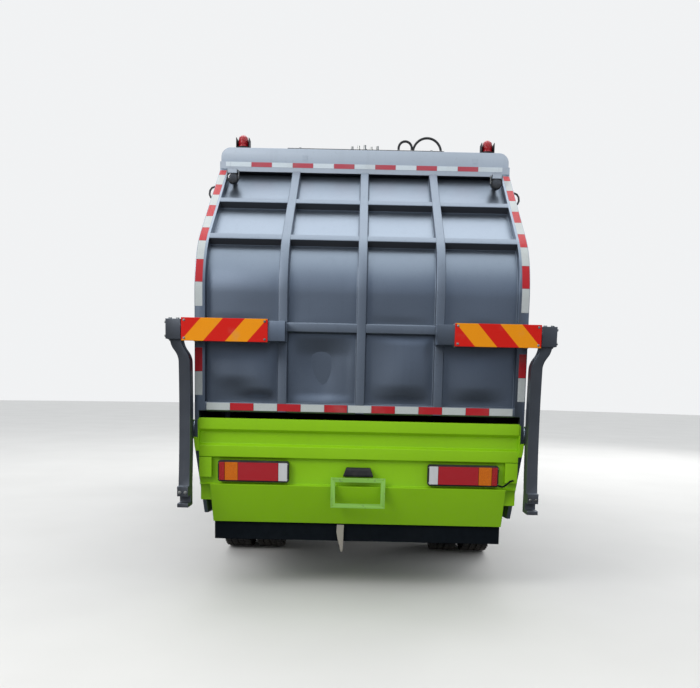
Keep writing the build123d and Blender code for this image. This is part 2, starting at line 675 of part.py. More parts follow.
# Door hinges stand just outside the skin, at the front edge of each door
door_pin_out = 6.0
door_pin_y = door_front_y + door_gap / 2
door_barrel_radius = 14.0
door_barrel_length = 45.0
door_barrel_gap = 3.0
door_barrel_zs = (1180.0, 1600.0)
step_y = cab_front_y - 330.0
step_z = 860.0
step_length = 330.0
step_height = 150.0
step_depth = 45.0
with BuildPart() as cab_shell:
    with BuildSketch(Plane.YZ.offset(-half_cab)) as cab_section:
        with BuildLine():
            Polyline(
                (arch_y_high, cab_floor_z),
                (cab_back_y, cab_floor_z),
                (cab_back_y, cab_top_z),
                (screen_top_y, cab_top_z),
                screen_low,
                (cab_front_y, 1500),
                (cab_front_y, cab_sill_z),
                (arch_y_low, cab_sill_z),
            )
            ThreePointArc(
                (arch_y_low, cab_sill_z),
                (
                    front_axle_y + arch_radius * cos(arch_mid),
                    tyre_radius + arch_radius * sin(arch_mid),
                ),
                (arch_y_high, cab_floor_z),
            )
        make_face()
    extrude(amount=cab_width)
    chamfer(cab_shell.edges().filter_by(Axis.X).group_by(Axis.Z)[-1], 45)
    chamfer(cab_shell.edges().filter_by(Axis.Z).group_by(Axis.Y)[-1], 60)
    with BuildSketch(Plane.YZ.offset(-half_cab + cab_wall)):
        with BuildLine():
            Polyline(
                (cab_back_y + cab_wall, cab_floor_z + cab_wall),
                (cab_back_y + cab_wall, cab_top_z - cab_wall),
                (screen_top_y - cab_wall / 2, cab_top_z - cab_wall),
                (screen_low[0] - cab_wall, screen_low[1]),
                (cab_front_y - cab_wall, 1500),
                (cab_front_y - cab_wall, cab_floor_z + cab_wall),
                close=True,
            )
        make_face()
    extrude(amount=cab_width - 2 * cab_wall, mode=Mode.SUBTRACT)
    with Locations((0, cab_front_y - cab_wall, cab_floor_z)):
        Box(
            cab_width - 2 * cab_wall,
            cab_front_y - front_axle_y,
            2 * (cab_floor_z - cab_sill_z),
            align=(Align.CENTER, Align.MAX, Align.MAX),
            mode=Mode.SUBTRACT,
        )
    with BuildSketch(Plane.YZ.offset(-half_cab)):
        Polygon(*door_outline, align=None)
        offset(amount=door_gap, kind=Kind.INTERSECTION)
    extrude(amount=cab_width, mode=Mode.SUBTRACT)
    with BuildSketch(Plane.XZ.offset(-(cab_front_y + 50))):
        with Locations((0, screen_low[1] + screen_margin)):
            Rectangle(
                2 * screen_half,
                cab_top_z - screen_low[1] - 2 * screen_margin,
                align=(Align.CENTER, Align.MIN),
            )
        with Locations((0, grille_low_z + grille_height / 2)):
            Rectangle(2 * grille_half, grille_height)
    extrude(amount=560, mode=Mode.SUBTRACT)
    for side in (-1, 1):
        with BuildSketch(Plane.YZ.offset(side * tilt_x - tilt_lug_wall / 2)):
            with Locations((tilt_y, tilt_z)):
                Circle(tilt_eye_radius)
            with Locations((tilt_y, (tilt_z + cab_sill_z) / 2)):
                Rectangle(2 * tilt_eye_radius, cab_sill_z - tilt_z)
        extrude(amount=tilt_lug_wall)
        with Locations((side * half_cab, step_y, step_z)):
            Box(2 * step_depth, step_length, step_height, mode=Mode.SUBTRACT)
        pin_x = side * (half_cab + door_pin_out)
        for barrel_z in door_barrel_zs:
            with Locations((pin_x, door_pin_y, barrel_z - door_barrel_length / 2 - 1)):
                Cylinder(door_barrel_radius + door_barrel_gap, door_barrel_length + 4, mode=Mode.SUBTRACT)
            with Locations((pin_x, door_pin_y, barrel_z + door_barrel_length / 2 + 1)):
                Cylinder(door_barrel_radius, door_barrel_length)
    with Locations(Location((0, tilt_y, tilt_z), (0, 90, 0))):
        Cylinder(tilt_pin_radius + running_fit, cab_width, mode=Mode.SUBTRACT)
cab_shell.part.label = "cab_shell"
export_step(cab_shell.part, "parts/cab_shell.step")

# Windscreen pane, seated in its opening along the slope of the screen
screen_slope = (screen_low[0] - screen_top_y) / (cab_top_z - screen_low[1])
screen_low_z = screen_low[1] + screen_margin
screen_high_z = cab_top_z - screen_margin
pane_set_back = 28.0
pane_low_y = screen_low[0] - screen_margin * screen_slope - pane_set_back
pane_high_y = screen_top_y + screen_margin * screen_slope - pane_set_back
with BuildPart() as windscreen:
    with BuildSketch(Plane.YZ.offset(-screen_half)):
        with BuildLine():
            Polyline(
                (pane_low_y, screen_low_z),
                (pane_high_y, screen_high_z),
                (pane_high_y - glass_wall, screen_high_z),
                (pane_low_y - glass_wall, screen_low_z),
                close=True,
            )
        make_face()
    extrude(amount=2 * screen_half)
windscreen.part.label = "windscreen"
export_step(windscreen.part, "parts/windscreen.step")

# Grille, a frame with level bars set in the front panel
bar_count = 6
bar_height = 34.0
bar_depth = 30.0
grille_frame = 40.0
with BuildPart() as grille:
    with BuildSketch(Plane.XZ.offset(-(cab_front_y - 10))):
        with Locations((0, grille_low_z + grille_height / 2)):
            Rectangle(2 * grille_half, grille_height)
            Rectangle(2 * (grille_half - grille_frame), grille_height - 2 * grille_frame, mode=Mode.SUBTRACT)
        bar_pitch = (grille_height - 2 * grille_frame) / bar_count
        with Locations((0, grille_low_z + grille_height / 2)):
            with GridLocations(0, bar_pitch, 1, bar_count):
                Rectangle(2 * (grille_half - grille_frame), bar_height)
    extrude(amount=bar_depth)
grille.part.label = "grille"
export_step(grille.part, "parts/grille.step")

# Doors with their window openings, and the panes that close them
door_wall = cab_wall
window_outline = [
    (door_rear_y + door_frame, door_belt_z + 20),
    (door_front_y - door_frame - 20, door_belt_z + 20),
    (pillar_top_y - door_frame + 30, door_top_z - door_frame),
    (door_rear_y + door_frame, door_top_z - door_frame),
]
for side, side_name in ((-1, "left"), (1, "right")):
    with BuildPart() as door:
        with BuildSketch(Plane.YZ.offset(side * (half_cab - door_wall / 2) - door_wall / 2)):
            Polygon(*door_outline, align=None)
            Polygon(*window_outline, align=None, mode=Mode.SUBTRACT)
        extrude(amount=door_wall)
        with Locations((side * (half_cab + 12), door_rear_y + 130, door_belt_z - 150)):
            Box(24, 150, 30)
        pin_x = side * (half_cab + door_pin_out)
        for barrel_z in door_barrel_zs:
            with Locations((pin_x, door_pin_y, barrel_z + door_barrel_length / 2 + 1)):
                Cylinder(door_barrel_radius + door_barrel_gap, door_barrel_length + 4, mode=Mode.SUBTRACT)
            with Locations((pin_x, door_pin_y, barrel_z - door_barrel_length / 2 - 1)):
                Cylinder(door_barrel_radius, door_barrel_length)
    door.part.label = f"{side_name}_door"
    export_step(door.part, f"parts/{side_name}_door.step")
    with BuildPart() as door_glass:
        with BuildSketch(Plane.YZ.offset(side * (half_cab - door_wall / 2) - glass_wall / 2)):
            Polygon(*window_outline, align=None)
        extrude(amount=glass_wall)
    door_glass.part.label = f"{side_name}_door_glass"
    export_step(door_glass.part, f"parts/{side_name}_door_glass.step")

# Seats, dashboard and steering wheel
seat_width = 520.0
seat_x = half_cab - 580.0
floor_top_z = cab_floor_z + cab_wall
seat_rear_y = cab_back_y + cab_wall + 40
with BuildPart() as seats:
    for place in (-seat_x, seat_x):
        with BuildSketch(Plane.YZ.offset(place - seat_width / 2)):
            with BuildLine():
                Polyline(
                    (seat_rear_y + 60, floor_top_z),
                    (seat_rear_y + 560, floor_top_z),
                    (seat_rear_y + 620, floor_top_z + 360),
                    (seat_rear_y + 230, floor_top_z + 330),
                    (seat_rear_y + 110, floor_top_z + 1040),
                    (seat_rear_y, floor_top_z + 1040),
                    (seat_rear_y + 60, floor_top_z + 300),
                    close=True,
                )
            make_face()
        extrude(amount=seat_width)
    chamfer(seats.edges().filter_by(Axis.X).group_by(Axis.Z)[-1], 30)
seats.part.label = "seats"
export_step(seats.part, "parts/seats.step")

dash_half = half_cab - cab_wall - 10
dash_front_y = cab_front_y - cab_wall - 20
with BuildPart() as dashboard:
    with BuildSketch(Plane.YZ.offset(-dash_half)):
        with BuildLine():
            Polyline(
                (dash_front_y - 60, floor_top_z),
                (dash_front_y, floor_top_z + 60),
                (dash_front_y, floor_top_z + 400),
                (dash_front_y - 60, floor_top_z + 560),
                (dash_front_y - 330, floor_top_z + 600),
                (dash_front_y - 400, floor_top_z + 470),
                (dash_front_y - 220, floor_top_z + 300),
                close=True,
            )
        make_face()
    extrude(amount=2 * dash_half)
dashboard.part.label = "dashboard"
export_step(dashboard.part, "parts/dashboard.step")

wheel_ring_radius = 225.0
wheel_grip_radius = 15.0
wheel_lean = 35.0
wheel_middle = (-seat_x, dash_front_y - 500, floor_top_z + 700)
wheel_axis = (0, -sin(radians(wheel_lean)), cos(radians(wheel_lean)))
wheel_plane = Plane(origin=wheel_middle, x_dir=(1, 0, 0), z_dir=wheel_axis)
column_length = 330.0
with BuildPart() as steering_wheel:
    with BuildSketch(Plane(origin=wheel_middle, x_dir=(1, 0, 0), z_dir=wheel_plane.y_dir)):
        with Locations((wheel_ring_radius, 0)):
            RegularPolygon(wheel_grip_radius, 8)
    revolve(axis=Axis(wheel_middle, wheel_axis))
    with Locations(wheel_plane):
        Cylinder(50, 40)
        with PolarLocations(wheel_ring_radius / 2, 3, start_angle=90):
            Box(wheel_ring_radius, 28, 14)
        with Locations((0, 0, -column_length / 2)):
            Cylinder(30, column_length)
    add(dashboard.part, mode=Mode.SUBTRACT)
steering_wheel.part.label = "steering_wheel"
export_step(steering_wheel.part, "parts/steering_wheel.step")

# Mirrors on tube arms ahead of the doors
mirror_arm_radius = 13.0
mirror_x = half_cab + 100.0
mirror_y = door_front_y + 90.0
mirror_size = (150.0, 70.0, 420.0)
mirror_z = 1980.0
with BuildPart() as mirrors:
    for side in (-1, 1):
        with Locations((side * mirror_x, mirror_y, mirror_z)):
            Box(*mirror_size)
        for arm_z in (mirror_z - 160, mirror_z + 160):
            arm_length = mirror_x - half_cab + 10
            with Locations(Location((side * (half_cab - 10 + arm_length / 2), mirror_y, arm_z), (0, 90, 0))):
                Cylinder(mirror_arm_radius, arm_length)
    chamfer(mirrors.edges().filter_by(Axis.Z), 20)
    add(cab_shell.part, mode=Mode.SUBTRACT)
mirrors.part.label = "mirrors"
export_step(mirrors.part, "parts/mirrors.step")

# Tailgate outline: upright, then a bend, then a straight slope up to the header
lean = radians(gate_lean)


def gate_line(depth, top_z):
    """Draw the ribbed skin's outline, set in by a depth, from its foot up to a level."""
    radius = gate_bend_radius - depth
    centre = (skin_y + gate_bend_radius, gate_bend_z)
    bend_end = (centre[0] - radius * cos(lean), centre[1] + radius * sin(lean))
    bend_mid = (centre[0] - radius * cos(lean / 2), centre[1] + radius * sin(lean / 2))
    rise = top_z - bend_end[1]
    foot = (skin_y + depth, gate_low_z)
    bend_start = (skin_y + depth, gate_bend_z)
    top = (bend_end[0] + rise * tan(lean), top_z)
    Line(foot, bend_start)
    ThreePointArc(bend_start, bend_mid, bend_end)
    Line(bend_end, top)
    return foot, top


def gate_band(outer, inner):
    """Draw the closed outline between two depths of the ribbed skin."""
    outer_foot, outer_top = gate_line(outer, gate_top_z)
    inner_foot, inner_top = gate_line(inner, gate_top_z)
    Line(outer_foot, inner_foot)
    Line(outer_top, inner_top)


# Tailgate shell: two side plates, the rear posts, the hopper floor and the front frame
joint_y = skin_y + gate_depth - 10
hopper_rise_z = 1000.0
hopper_foot_y = skin_y + 600.0
hopper_mid = (skin_y + 935.0, 655.0)
hopper_wall = 20.0
pivot_y = skin_y + 45.0
pivot_z = 1150.0
pivot_radius = 30.0
bearing_radius = 58.0
bearing_wall = 12.0
frame_depth = 60.0
frame_width = post_width
post_depth = 100.0
with BuildPart() as tailgate_shell:
    for side in (-1, 1):
        with BuildSketch(Plane.YZ.offset(side * (half_body - plate_wall / 2) - plate_wall / 2)):
            with BuildLine():
                foot, top = gate_line(0, gate_top_z)
                Line(top, (joint_y, gate_top_z))
                Line((joint_y, gate_top_z), (joint_y, hopper_rise_z))
                ThreePointArc((joint_y, hopper_rise_z), hopper_mid, (hopper_foot_y, gate_bottom_z))
                Polyline(
                    (hopper_foot_y, gate_bottom_z),
                    (skin_y + 330, gate_bottom_z + 20),
                    (skin_y, pivot_z - 120),
                    foot,
                )
            make_face()
        extrude(amount=plate_wall)
        with BuildSketch(Plane.YZ.offset(side * (half_body - post_width / 2) - post_width / 2)):
            with BuildLine():
                gate_band(0, post_depth)
            make_face()
        extrude(amount=post_width)
        with BuildSketch(Plane.YZ.offset(side * (half_body - frame_width / 2) - frame_width / 2)):
            with Locations((joint_y - frame_depth / 2, (hopper_rise_z + gate_top_z) / 2)):
                Rectangle(frame_depth, gate_top_z - hopper_rise_z)
        extrude(amount=frame_width)
    with BuildSketch(Plane.YZ.offset(-half_body)):
        with BuildLine():
            ThreePointArc((joint_y, hopper_rise_z), hopper_mid, (hopper_foot_y, gate_bottom_z))
            Line((joint_y, hopper_rise_z), (joint_y, hopper_rise_z + 60))
            ThreePointArc(
                (joint_y, hopper_rise_z + 60),
                (hopper_mid[0] - hopper_wall, hopper_mid[1] + hopper_wall),
                (hopper_foot_y, gate_bottom_z + hopper_wall),
            )
            Line((hopper_foot_y, gate_bottom_z + hopper_wall), (hopper_foot_y, gate_bottom_z))
        make_face()
    extrude(amount=body_width)
    with Locations(Location((0, pivot_y, pivot_z), (0, 90, 0))):
        for side in (-1, 1):
            with Locations((0, 0, side * (half_body + bearing_wall / 2))):
                Cylinder(bearing_radius, bearing_wall)
        Cylinder(pivot_radius + running_fit, body_width + 4 * bearing_wall, mode=Mode.SUBTRACT)
    for side in (-1, 1):
        with Locations(Location((side * (half_body + 4), *lift_eye), (0, 90, 0))):
            Cylinder(lift_boss_radius, 8)
tailgate_shell.part.label = "tailgate_shell"
export_step(tailgate_shell.part, "parts/tailgate_shell.step")

# Ribbed rear skin: a recessed sheet with upright ribs and level ribs between the posts
skin_half = half_body - post_width
level_rib_zs = (gate_low_z + rib_width / 2, 1853.0)
slope_rib_zs = (2480.0, 2810.0)
slope_foot = (
    skin_y + gate_bend_radius * (1 - cos(lean)),
    gate_bend_z + gate_bend_radius * sin(lean),
)
top_frame_height = 72.0
top_frame_out = 35.0
top_frame_y = joint_y - header_depth - top_frame_out
with BuildPart() as rear_skin:
    with BuildSketch(Plane.YZ.offset(-skin_half)):
        with BuildLine():
            gate_band(skin_recess, skin_recess + skin_wall)
        make_face()
    extrude(amount=2 * skin_half)
    for place in (-rib_x, 0, rib_x):
        with BuildSketch(Plane.YZ.offset(place - rib_width / 2)):
            with BuildLine():
                gate_band(0, skin_recess)
            make_face()
            with Locations((top_frame_y, gate_top_z - top_frame_height)):
                Rectangle(4 * skin_recess, header_height, align=(Align.CENTER, Align.MIN), mode=Mode.SUBTRACT)
        extrude(amount=rib_width)
    for rib_z in level_rib_zs:
        with BuildSketch(Plane.YZ.offset(-skin_half)):
            with Locations((skin_y + skin_recess / 2, rib_z)):
                Rectangle(skin_recess, rib_width)
        extrude(amount=2 * skin_half)
    for rib_z in slope_rib_zs:
        with BuildSketch(Plane.YZ.offset(-skin_half)):
            with BuildLine():
                gate_band(0, skin_recess)
            make_face()
            rib_y = slope_foot[0] + (rib_z - slope_foot[1]) * tan(lean)
            with Locations(Location((rib_y, rib_z), -gate_lean)):
                Rectangle(3 * skin_recess, rib_width, mode=Mode.INTERSECT)
        extrude(amount=2 * skin_half)
    with BuildSketch(Plane.YZ.offset(-skin_half)):
        with Locations((top_frame_y, gate_top_z)):
            Rectangle(joint_y - top_frame_y, top_frame_height, align=(Align.MIN, Align.MAX))
    extrude(amount=2 * skin_half)
rear_skin.part.label = "rear_skin"
export_step(rear_skin.part, "parts/rear_skin.step")

# Header beam across the tailgate's top, with the hinge knuckles on its front face
header_low_y = joint_y - header_depth
with BuildPart() as header_beam:
    with BuildSketch(Plane.XZ.offset(-header_low_y)) as header_section:
        with Locations((0, gate_top_z)):
            Rectangle(body_width, header_height, align=(Align.CENTER, Align.MIN))
        fillet(header_section.vertices().group_by(Axis.Y)[-1], header_corner)
    extrude(amount=-header_depth)
    for place in hinge_places:
        with Locations(Location((place, hinge_y, hinge_z), (0, 90, 0))):
            Cylinder(ear_radius - 6, knuckle_width)
        with Locations((place, (joint_y + hinge_y) / 2, hinge_z)):
            Box(knuckle_width, hinge_y - joint_y, 2 * (ear_radius - 6))
    with Locations(Location((0, hinge_y, hinge_z), (0, 90, 0))):
        Cylinder(hinge_pin_radius + running_fit, body_width, mode=Mode.SUBTRACT)
header_beam.part.label = "header_beam"
export_step(header_beam.part, "parts/header_beam.step")

# Hydraulic pipe block on top of the header, with its elbows and two arched hoses
header_top_z = gate_top_z + header_height
hose_radius = 10.0
hose_y = header_low_y + header_depth - 20.0
hose_rows = (
    # left_x, right_x, top_z
    (277.0, 383.0, header_top_z + 99.0),
    (408.0, 634.0, header_top_z + 127.0),
)
pipe_block_size = (240.0, 34.0, 22.0)
pipe_block_x = 45.0
elbow_radius = 9.0
elbow_height = 24.0
elbow_pitch = 44.0
elbow_count = 5
with BuildPart() as header_hoses:
    for left_x, right_x, top_z in hose_rows:
        middle_x = (left_x + right_x) / 2
        leg_top_z = top_z - (right_x - left_x) / 2
        with BuildLine():
            Line((left_x, hose_y, header_top_z), (left_x, hose_y, leg_top_z))
            ThreePointArc(
                (left_x, hose_y, leg_top_z), (middle_x, hose_y, top_z), (right_x, hose_y, leg_top_z)
            )
            Line((right_x, hose_y, leg_top_z), (right_x, hose_y, header_top_z))
        with BuildSketch(Plane.XY.offset(header_top_z)):
            with Locations((left_x, hose_y)):
                Circle(hose_radius)
        sweep()
    with Locations((pipe_block_x, hose_y, header_top_z + pipe_block_size[2] / 2)):
        Box(*pipe_block_size)
    with Locations((pipe_block_x, hose_y, header_top_z + pipe_block_size[2] + elbow_height / 2)):
        with GridLocations(elbow_pitch, 0, elbow_count, 1):
            Cylinder(elbow_radius, elbow_height)
header_hoses.part.label = "header_hoses"
export_step(header_hoses.part, "parts/header_hoses.step")

# Beacon feet and work lamps, black, and the red beacon domes
beacon_x = half_body - 165.0
beacon_base = (105.0, 90.0, 46.0)
dome_radius = 38.0
dome_height = 64.0
work_lamp_x = half_body - 125.0
work_lamp_radius = 41.0
work_lamp_depth = 50.0
work_lamp_z = 3015.0
lamp_stay = (36.0, 90.0, 14.0)
work_lamp_y = skin_y + 800.0
with BuildPart() as lamp_housings:
    for side in (-1, 1):
        with Locations((side * beacon_x, header_low_y + header_depth / 2, header_top_z + beacon_base[2] / 2)):
            Box(*beacon_base)
        with Locations(Location((side * work_lamp_x, work_lamp_y - 20, work_lamp_z), (90, 0, 0))):
            Cylinder(work_lamp_radius, work_lamp_depth)
        with Locations((side * work_lamp_x, work_lamp_y + lamp_stay[1] / 2 - 5, work_lamp_z + 5)):
            Box(*lamp_stay)
    add(rear_skin.part, mode=Mode.SUBTRACT)
    add(tailgate_shell.part, mode=Mode.SUBTRACT)
lamp_housings.part.label = "lamp_housings"
export_step(lamp_housings.part, "parts/lamp_housings.step")

with BuildPart() as beacon_domes:
    for side in (-1, 1):
        dome_z = header_top_z + beacon_base[2]
        with Locations((side * beacon_x, header_low_y + header_depth / 2, dome_z + dome_height / 2)):
            Cylinder(dome_radius, dome_height)
    chamfer(beacon_domes.edges().filter_by(GeomType.CIRCLE).group_by(Axis.Z)[-1], 20)
beacon_domes.part.label = "beacon_domes"
export_step(beacon_domes.part, "parts/beacon_domes.step")

# Pivot housings on the outer ribs, with a shaft end for each lift arm
housing_inner_x = 500.0
housing_outer_x = half_body + 12.0
housing_height = 130.0
housing_depth = 104.0
housing_z = 1815.0
housing_y = skin_y - 108.0
shaft_end_radius = 38.0
arm_inner_x = half_body + 56.5
arm_width = 72.0
hub_outer_x = arm_inner_x + arm_width + 24.0
shaft_cap = 16.0
shaft_outer_x = hub_outer_x - shaft_cap
with BuildPart() as pivot_housings:
    for side in (-1, 1):
        with Locations((side * (housing_inner_x + housing_outer_x) / 2, housing_y, housing_z)):
            Box(housing_outer_x - housing_inner_x, housing_depth, housing_height)
        foot_y = (housing_y + housing_depth / 2 + skin_y) / 2
        foot_length = skin_y - housing_y - housing_depth / 2
        for foot_x in (rib_x, half_body - post_width / 2):
            with Locations((side * foot_x, foot_y, housing_z)):
                Box(rib_width, foot_length, housing_height)
        shaft_middle = (side * (housing_outer_x + shaft_outer_x) / 2, housing_y, housing_z)
        with Locations(Location(shaft_middle, (0, 90, 0))):
            Cylinder(shaft_end_radius, shaft_outer_x - housing_outer_x)
pivot_housings.part.label = "pivot_housings"
export_step(pivot_housings.part, "parts/pivot_housings.step")

# Marking boards on the rear faces of the pivot housings
board_size = (565.0, 15.0, 150.0)
board_overhang = 39.0
board_x = housing_outer_x + board_overhang - board_size[0] / 2
board_y = housing_y - housing_depth / 2 - board_size[1] / 2
with BuildPart() as marking_boards:
    with Locations(*[(side * board_x, board_y, housing_z) for side in (-1, 1)]):
        Box(*board_size)
marking_boards.part.label = "marking_boards"
export_step(marking_boards.part, "parts/marking_boards.step")

# Lift arms: a hub on each shaft end, a bowed box arm cranked inwards below the board, and an open jaw at its foot
hub_half = housing_height / 2
arm_foot_z = 640.0
arm_bow = 30.0
arm_depth = 100.0
arm_inset = 53.5
inset_high_z = housing_z - 100
inset_low_z = housing_z - 175
leg_inner_x = arm_inner_x - arm_inset
leg_outer_x = leg_inner_x + arm_width
arm_outer_x = arm_inner_x + arm_width
jaw_radius = 24.0
jaw_z = 690.0
arm_legs = []
for side in (-1, 1):
    with BuildPart() as arm_leg:
        with BuildSketch(Plane.YZ.offset(side * leg_inner_x)):
            with BuildLine():
                front = ThreePointArc(
                    (housing_y + arm_depth / 2, housing_z - 40),
                    (housing_y + arm_depth / 2 + arm_bow, (housing_z + arm_foot_z) / 2 + 150),
                    (housing_y + arm_depth / 2, arm_foot_z + 140),
                )
                rear = ThreePointArc(
                    (housing_y - arm_depth / 2, housing_z - 40),
                    (housing_y - arm_depth / 2 + arm_bow, (housing_z + arm_foot_z) / 2 + 150),
                    (housing_y - arm_depth / 2, arm_foot_z + 140),
                )
                Line(front @ 0, rear @ 0)
                Polyline(
                    front @ 1,
                    (housing_y + arm_depth / 2, arm_foot_z),
                    (housing_y - arm_depth / 2 - 40, arm_foot_z),
                    (housing_y - arm_depth / 2 - 40, arm_foot_z + 140),
                    rear @ 1,
                )
            make_face()
            with BuildLine():
                Polyline(
                    (housing_y - arm_depth / 2 - 60, jaw_z + jaw_radius),
                    (housing_y - 10, jaw_z + jaw_radius),
                    (housing_y - 10, jaw_z - jaw_radius),
                    (housing_y - arm_depth / 2 - 60, jaw_z - jaw_radius),
                    close=True,
                )
            make_face(mode=Mode.SUBTRACT)
        extrude(amount=side * (arm_width + arm_inset))
        with BuildSketch(Plane.XZ.offset(-housing_y - 2 * arm_depth)):
            Polygon(
                (side * arm_inner_x, housing_z),
                (side * arm_outer_x, housing_z),
                (side * arm_outer_x, inset_high_z),
                (side * leg_outer_x, inset_low_z),
                (side * leg_outer_x, arm_foot_z),
                (side * leg_inner_x, arm_foot_z),
                (side * leg_inner_x, inset_low_z),
                (side * arm_inner_x, inset_high_z),
                align=None,
            )
        extrude(amount=4 * arm_depth, mode=Mode.INTERSECT)
    arm_legs.append(arm_leg.part)
with BuildPart() as lift_arms:
    for side, leg in zip((-1, 1), arm_legs):
        add(leg)
        hub_width = hub_outer_x - arm_inner_x
        with Locations((side * (arm_inner_x + hub_outer_x) / 2, housing_y, housing_z)):
            Box(hub_width, 2 * hub_half, 2 * hub_half)
    with Locations(Location((0, housing_y, housing_z), (0, 90, 0))):
        Cylinder(shaft_end_radius + running_fit, 2 * (shaft_outer_x + 2), mode=Mode.SUBTRACT)
lift_arms.part.label = "lift_arms"
export_step(lift_arms.part, "parts/lift_arms.step")

# Tipping bucket: an open tray with a rolled rim, a stepped rear wall and a lamp recess
bucket_half = half_body - 35.0
bucket_foot_half = bucket_half - 75.0
bucket_wall = 25.0
bucket_rim_z = 1232.0
rim_y = skin_y - 35.0
face_y = skin_y - 28.0
neck_y = skin_y - 2.0
recess_y = skin_y + 4.0
bucket_low_z = gate_bottom_z
slope_top_z = 780.0
slope_foot_y = skin_y + 95.0
bucket_front_y = hopper_foot_y - 60.0
bucket_outline = [
    (rim_y, bucket_rim_z),
    (rim_y, bucket_rim_z - 62),
    (neck_y, bucket_rim_z - 78),
    (neck_y, 1082),
    (face_y, 1070),
    (face_y, 970),
    (recess_y, 958),
    (recess_y, 788),
    (face_y, slope_top_z),
    (slope_foot_y, bucket_low_z),
    (bucket_front_y - 60, bucket_low_z),
    (bucket_front_y, bucket_low_z + 90),
    (bucket_front_y - 40, bucket_low_z + 240),
    (skin_y + 260, bucket_rim_z - 70),
    (skin_y + 120, bucket_rim_z),
]
wing_top_z = slope_top_z + 18.0
wing_low_z = 662.0
wing_y = skin_y + 30.0
wing_depth = 260.0
wing_wall = 12.0
with BuildPart() as bucket_hollow:
    with BuildSketch(Plane.YZ.offset(-bucket_half + bucket_wall)):
        with BuildLine():
            Polyline(
                (recess_y + bucket_wall, bucket_rim_z + 40),
                (recess_y + bucket_wall, slope_top_z),
                (slope_foot_y + bucket_wall * 0.7, bucket_low_z + bucket_wall),
                (bucket_front_y - 70, bucket_low_z + bucket_wall),
                (bucket_front_y - bucket_wall, bucket_low_z + 100),
                (bucket_front_y - bucket_wall - 20, bucket_low_z + 200),
                (bucket_front_y + 60, bucket_low_z + 200),
                (bucket_front_y + 60, bucket_rim_z + 40),
                close=True,
            )
        make_face()
    extrude(amount=2 * (bucket_half - bucket_wall))
    for side in (-1, 1):
        with Locations((side * bucket_half, skin_y, wing_top_z)):
            Box(
                2 * (bucket_half - bucket_foot_half + bucket_wall),
                3 * bucket_half,
                bucket_rim_z - bucket_low_z,
                align=(Align.CENTER, Align.CENTER, Align.MAX),
                mode=Mode.SUBTRACT,
            )
with BuildPart() as bucket:
    with BuildSketch(Plane.YZ.offset(-bucket_half)):
        Polygon(*bucket_outline, align=None)
    extrude(amount=2 * bucket_half)
    wing_width = bucket_half - bucket_foot_half
    for side in (-1, 1):
        wing_x = side * (bucket_half + bucket_foot_half) / 2
        with Locations((wing_x, skin_y, slope_top_z)):
            Box(
                wing_width,
                3 * bucket_half,
                bucket_rim_z - bucket_low_z,
                align=(Align.CENTER, Align.CENTER, Align.MAX),
                mode=Mode.SUBTRACT,
            )
        with Locations((wing_x, wing_y + wing_depth / 2, (wing_low_z + wing_top_z) / 2)):
            Box(wing_width, wing_depth, wing_top_z - wing_low_z)
        with Locations((wing_x, wing_y + wing_depth / 2, (wing_low_z + wing_top_z) / 2)):
            Box(
                wing_width - 2 * wing_wall,
                wing_depth - 2 * wing_wall,
                wing_top_z - wing_low_z - 2 * wing_wall,
                mode=Mode.SUBTRACT,
            )
    add(bucket_hollow.part, mode=Mode.SUBTRACT)
    pin_inner_x = bucket_half - bucket_wall
    pin_outer_x = half_body + bearing_wall + 4
    for side in (-1, 1):
        with Locations(Location((side * (pin_inner_x + pin_outer_x) / 2, pivot_y, pivot_z), (0, 90, 0))):
            Cylinder(pivot_radius, pin_outer_x - pin_inner_x)
bucket.part.label = "bucket"
export_step(bucket.part, "parts/bucket.step")

# Rubber skirt under the bucket
skirt_wall = 12.0
skirt_low_z = 370.0
skirt_y = slope_foot_y + 30
with BuildPart() as bucket_skirt:
    with Locations((0, skirt_y, (skirt_low_z + bucket_low_z) / 2)):
        Box(2 * bucket_foot_half, skirt_wall, bucket_low_z - skirt_low_z)
bucket_skirt.part.label = "bucket_skirt"
export_step(bucket_skirt.part, "parts/bucket_skirt.step")

# Tail lamps in the bucket's recess
tail_lamp_size = (485.0, 44.0, 145.0)
tail_lamp_x = half_body - 408.0
tail_lamp_z = 873.0
tail_lamp_y = recess_y - tail_lamp_size[1] / 2
with BuildPart() as tail_lamps:
    with Locations(*[(side * tail_lamp_x, tail_lamp_y, tail_lamp_z) for side in (-1, 1)]):
        Box(*tail_lamp_size)
    chamfer(tail_lamps.edges().filter_by(Axis.Y), 10)
tail_lamps.part.label = "tail_lamps"
export_step(tail_lamps.part, "parts/tail_lamps.step")

# Plate frame standing off the sloped face, with its lamp above
plate_width = 372.0
plate_height = 208.0
plate_bar = 30.0
plate_hole_radius = 3.5
plate_z = 740.0
plate_stand = 48.0
plate_y = face_y - 14.0
plate_lamp_width = 210.0
plate_lamp_height = 62.0
plate_lamp_depth = 60.0
plate_lamp_gap = 6.0
with BuildPart() as plate_frame:
    with BuildSketch(Plane.XZ.offset(-plate_y)):
        with Locations((0, plate_z)):
            Rectangle(plate_width, plate_height)
            Rectangle(plate_width - 2 * plate_bar, plate_height - 2 * plate_bar, mode=Mode.SUBTRACT)
            with GridLocations(plate_width - plate_bar, plate_height - plate_bar, 2, 2):
                Circle(plate_hole_radius, mode=Mode.SUBTRACT)
    extrude(amount=10)
    for side in (-1, 1):
        with Locations((side * (plate_width - plate_bar) / 2, plate_y + plate_stand / 2, plate_z - 20)):
            Box(plate_bar, plate_stand, 30)
    add(bucket.part, mode=Mode.SUBTRACT)
plate_frame.part.label = "plate_frame"
export_step(plate_frame.part, "parts/plate_frame.step")

